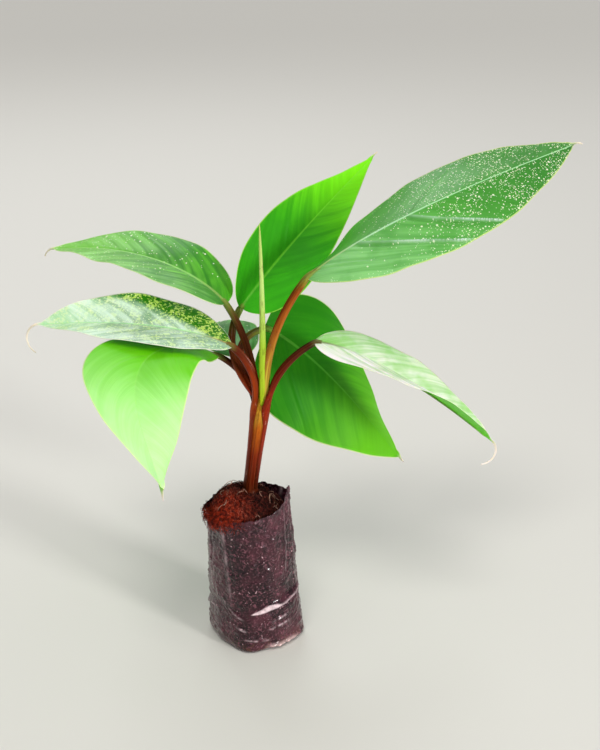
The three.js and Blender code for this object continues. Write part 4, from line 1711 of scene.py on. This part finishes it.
class PLANT_OT_coir(bpy.types.Operator):
    """Build the coir with its fibres, crumbs and surface roots"""

    bl_idname = "plant.coir"
    bl_label = "Coir"

    def execute(self, context):
        settings = context.scene.plant_coir
        add_piece("coir_plug", coir_mesh(), coir_material(settings), ["coir"])
        rng = random.Random(COIR_SEED)
        paths = [coir_fibre(rng) for _ in range(settings.fibres)]
        hanging = [hanging_fibre(rng) for _ in range(settings.fibres // HANGING_ONE_IN)]
        # Three quarters of them are red, and the rest are dry and pale
        split = len(paths) * 3 // 4
        red = fibre_material("coir fibres", ("1a0504", "4e130c"), ("4a1008", "b03418"))
        pale = fibre_material("dry fibres", ("2c0f0c", "784034"), ("7c2a1a", "d8705a"))
        add_piece("coir_fibres", strands(paths[:split] + hanging, FIBRE_THICKNESS), red)
        add_piece("dry_fibres", strands(paths[split:], DRY_FIBRE_THICKNESS), pale)
        roots = [surface_root(rng) for _ in range(settings.roots)]
        root = plain_material("surface roots", 240.0, "8a5f50", settings.root_colour, 0.6)
        add_piece("surface_roots", strands(roots, ROOT_THICKNESS), root)
        crumb = plain_material("coir crumbs", 260.0, "240d09", "6b2a1e", 0.95)
        add_piece("coir_crumbs", crumbs_mesh(rng, settings.crumbs), crumb)
        return {"FINISHED"}


class PLANT_OT_pseudostem(bpy.types.Operator):
    """Build the column of packed sheaths"""

    bl_idname = "plant.pseudostem"
    bl_label = "Pseudostem"

    def execute(self, context):
        surface = limb_material("packed sheaths", "pseudostem", 0.36)
        add_piece("pseudostem_sheaths", stem_mesh(), surface, ["pseudostem"])
        return {"FINISHED"}


class PLANT_OT_petioles(bpy.types.Operator):
    """Build every petiole with its sheath below and its midrib above"""

    bl_idname = "plant.petioles"
    bl_label = "Petioles"

    def execute(self, context):
        for name, leaf in LEAVES.items():
            surface = limb_material("petiole " + name.replace("_", " "), name, 0.34)
            add_piece("stalk_" + name, petiole_mesh(leaf), surface, ["petiole_" + name])
        return {"FINISHED"}


class PLANT_OT_spear(bpy.types.Operator):
    """Build the newest leaf, still rolled up"""

    bl_idname = "plant.spear"
    bl_label = "Spear"

    def execute(self, context):
        surface = limb_material("rolled leaf", "spear", 0.4, 0.12, 0.2)
        add_piece("spear_roll", spear_mesh(), surface, ["spear"])
        return {"FINISHED"}


class PLANT_OT_leaves(bpy.types.Operator):
    """Build every blade"""

    bl_idname = "plant.leaves"
    bl_label = "Leaves"

    def execute(self, context):
        settings = context.scene.plant_leaves
        for name, leaf in LEAVES.items():
            look = {**PLAIN_LOOK, **LEAF_LOOKS[name]}
            mesh = blade_mesh(name, leaf, look, settings)
            surface = blade_material(name, leaf, look, settings)
            add_piece("blade_" + name, mesh, surface, ["leaf_" + name])
        return {"FINISHED"}


class PLANT_OT_stage(bpy.types.Operator):
    """Build the floor, the lights and the camera"""

    bl_idname = "plant.stage"
    bl_label = "Stage"

    def execute(self, context):
        add_floor()
        add_world()
        for name, light in LIGHTS.items():
            add_light(name, **light)
        add_camera()
        context.scene.view_settings.view_transform = "Standard"
        return {"FINISHED"}


OPERATORS = (
    PLANT_OT_grow_bag,
    PLANT_OT_coir,
    PLANT_OT_pseudostem,
    PLANT_OT_petioles,
    PLANT_OT_spear,
    PLANT_OT_leaves,
    PLANT_OT_stage,
)
SETTINGS = {
    "plant_bag": BagSettings,
    "plant_coir": CoirSettings,
    "plant_leaves": LeafSettings,
    "plant_stem": StemSettings,
}


class PLANT_PT_sidebar(bpy.types.Panel):
    """Sizes, colours and the steps that build the plant"""

    bl_idname = "PLANT_PT_sidebar"
    bl_label = "Young banana plant"
    bl_space_type = "VIEW_3D"
    bl_region_type = "UI"
    bl_category = "Plant"

    def draw(self, context):
        for name, kind in SETTINGS.items():
            box = self.layout.box()
            box.label(text=kind.__doc__)
            for prop in kind.__annotations__:
                box.prop(getattr(context.scene, name), prop)
        for operator in OPERATORS:
            self.layout.operator(operator.bl_idname)


def register():
    """Registers the settings, operators and panel."""
    for name, kind in SETTINGS.items():
        bpy.utils.register_class(kind)
        setattr(bpy.types.Scene, name, PointerProperty(type=kind))
    for kind in (*OPERATORS, PLANT_PT_sidebar):
        bpy.utils.register_class(kind)


def unregister():
    """Takes back what register did."""
    for kind in (PLANT_PT_sidebar, *reversed(OPERATORS)):
        bpy.utils.unregister_class(kind)
    for name, kind in SETTINGS.items():
        delattr(bpy.types.Scene, name)
        bpy.utils.unregister_class(kind)


def main():
    """Builds the plant and its stage."""
    register()
    bpy.ops.plant.grow_bag()
    bpy.ops.plant.coir()
    bpy.ops.plant.pseudostem()
    bpy.ops.plant.petioles()
    bpy.ops.plant.spear()
    bpy.ops.plant.leaves()
    bpy.ops.plant.stage()


if __name__ == "__main__":
    main()
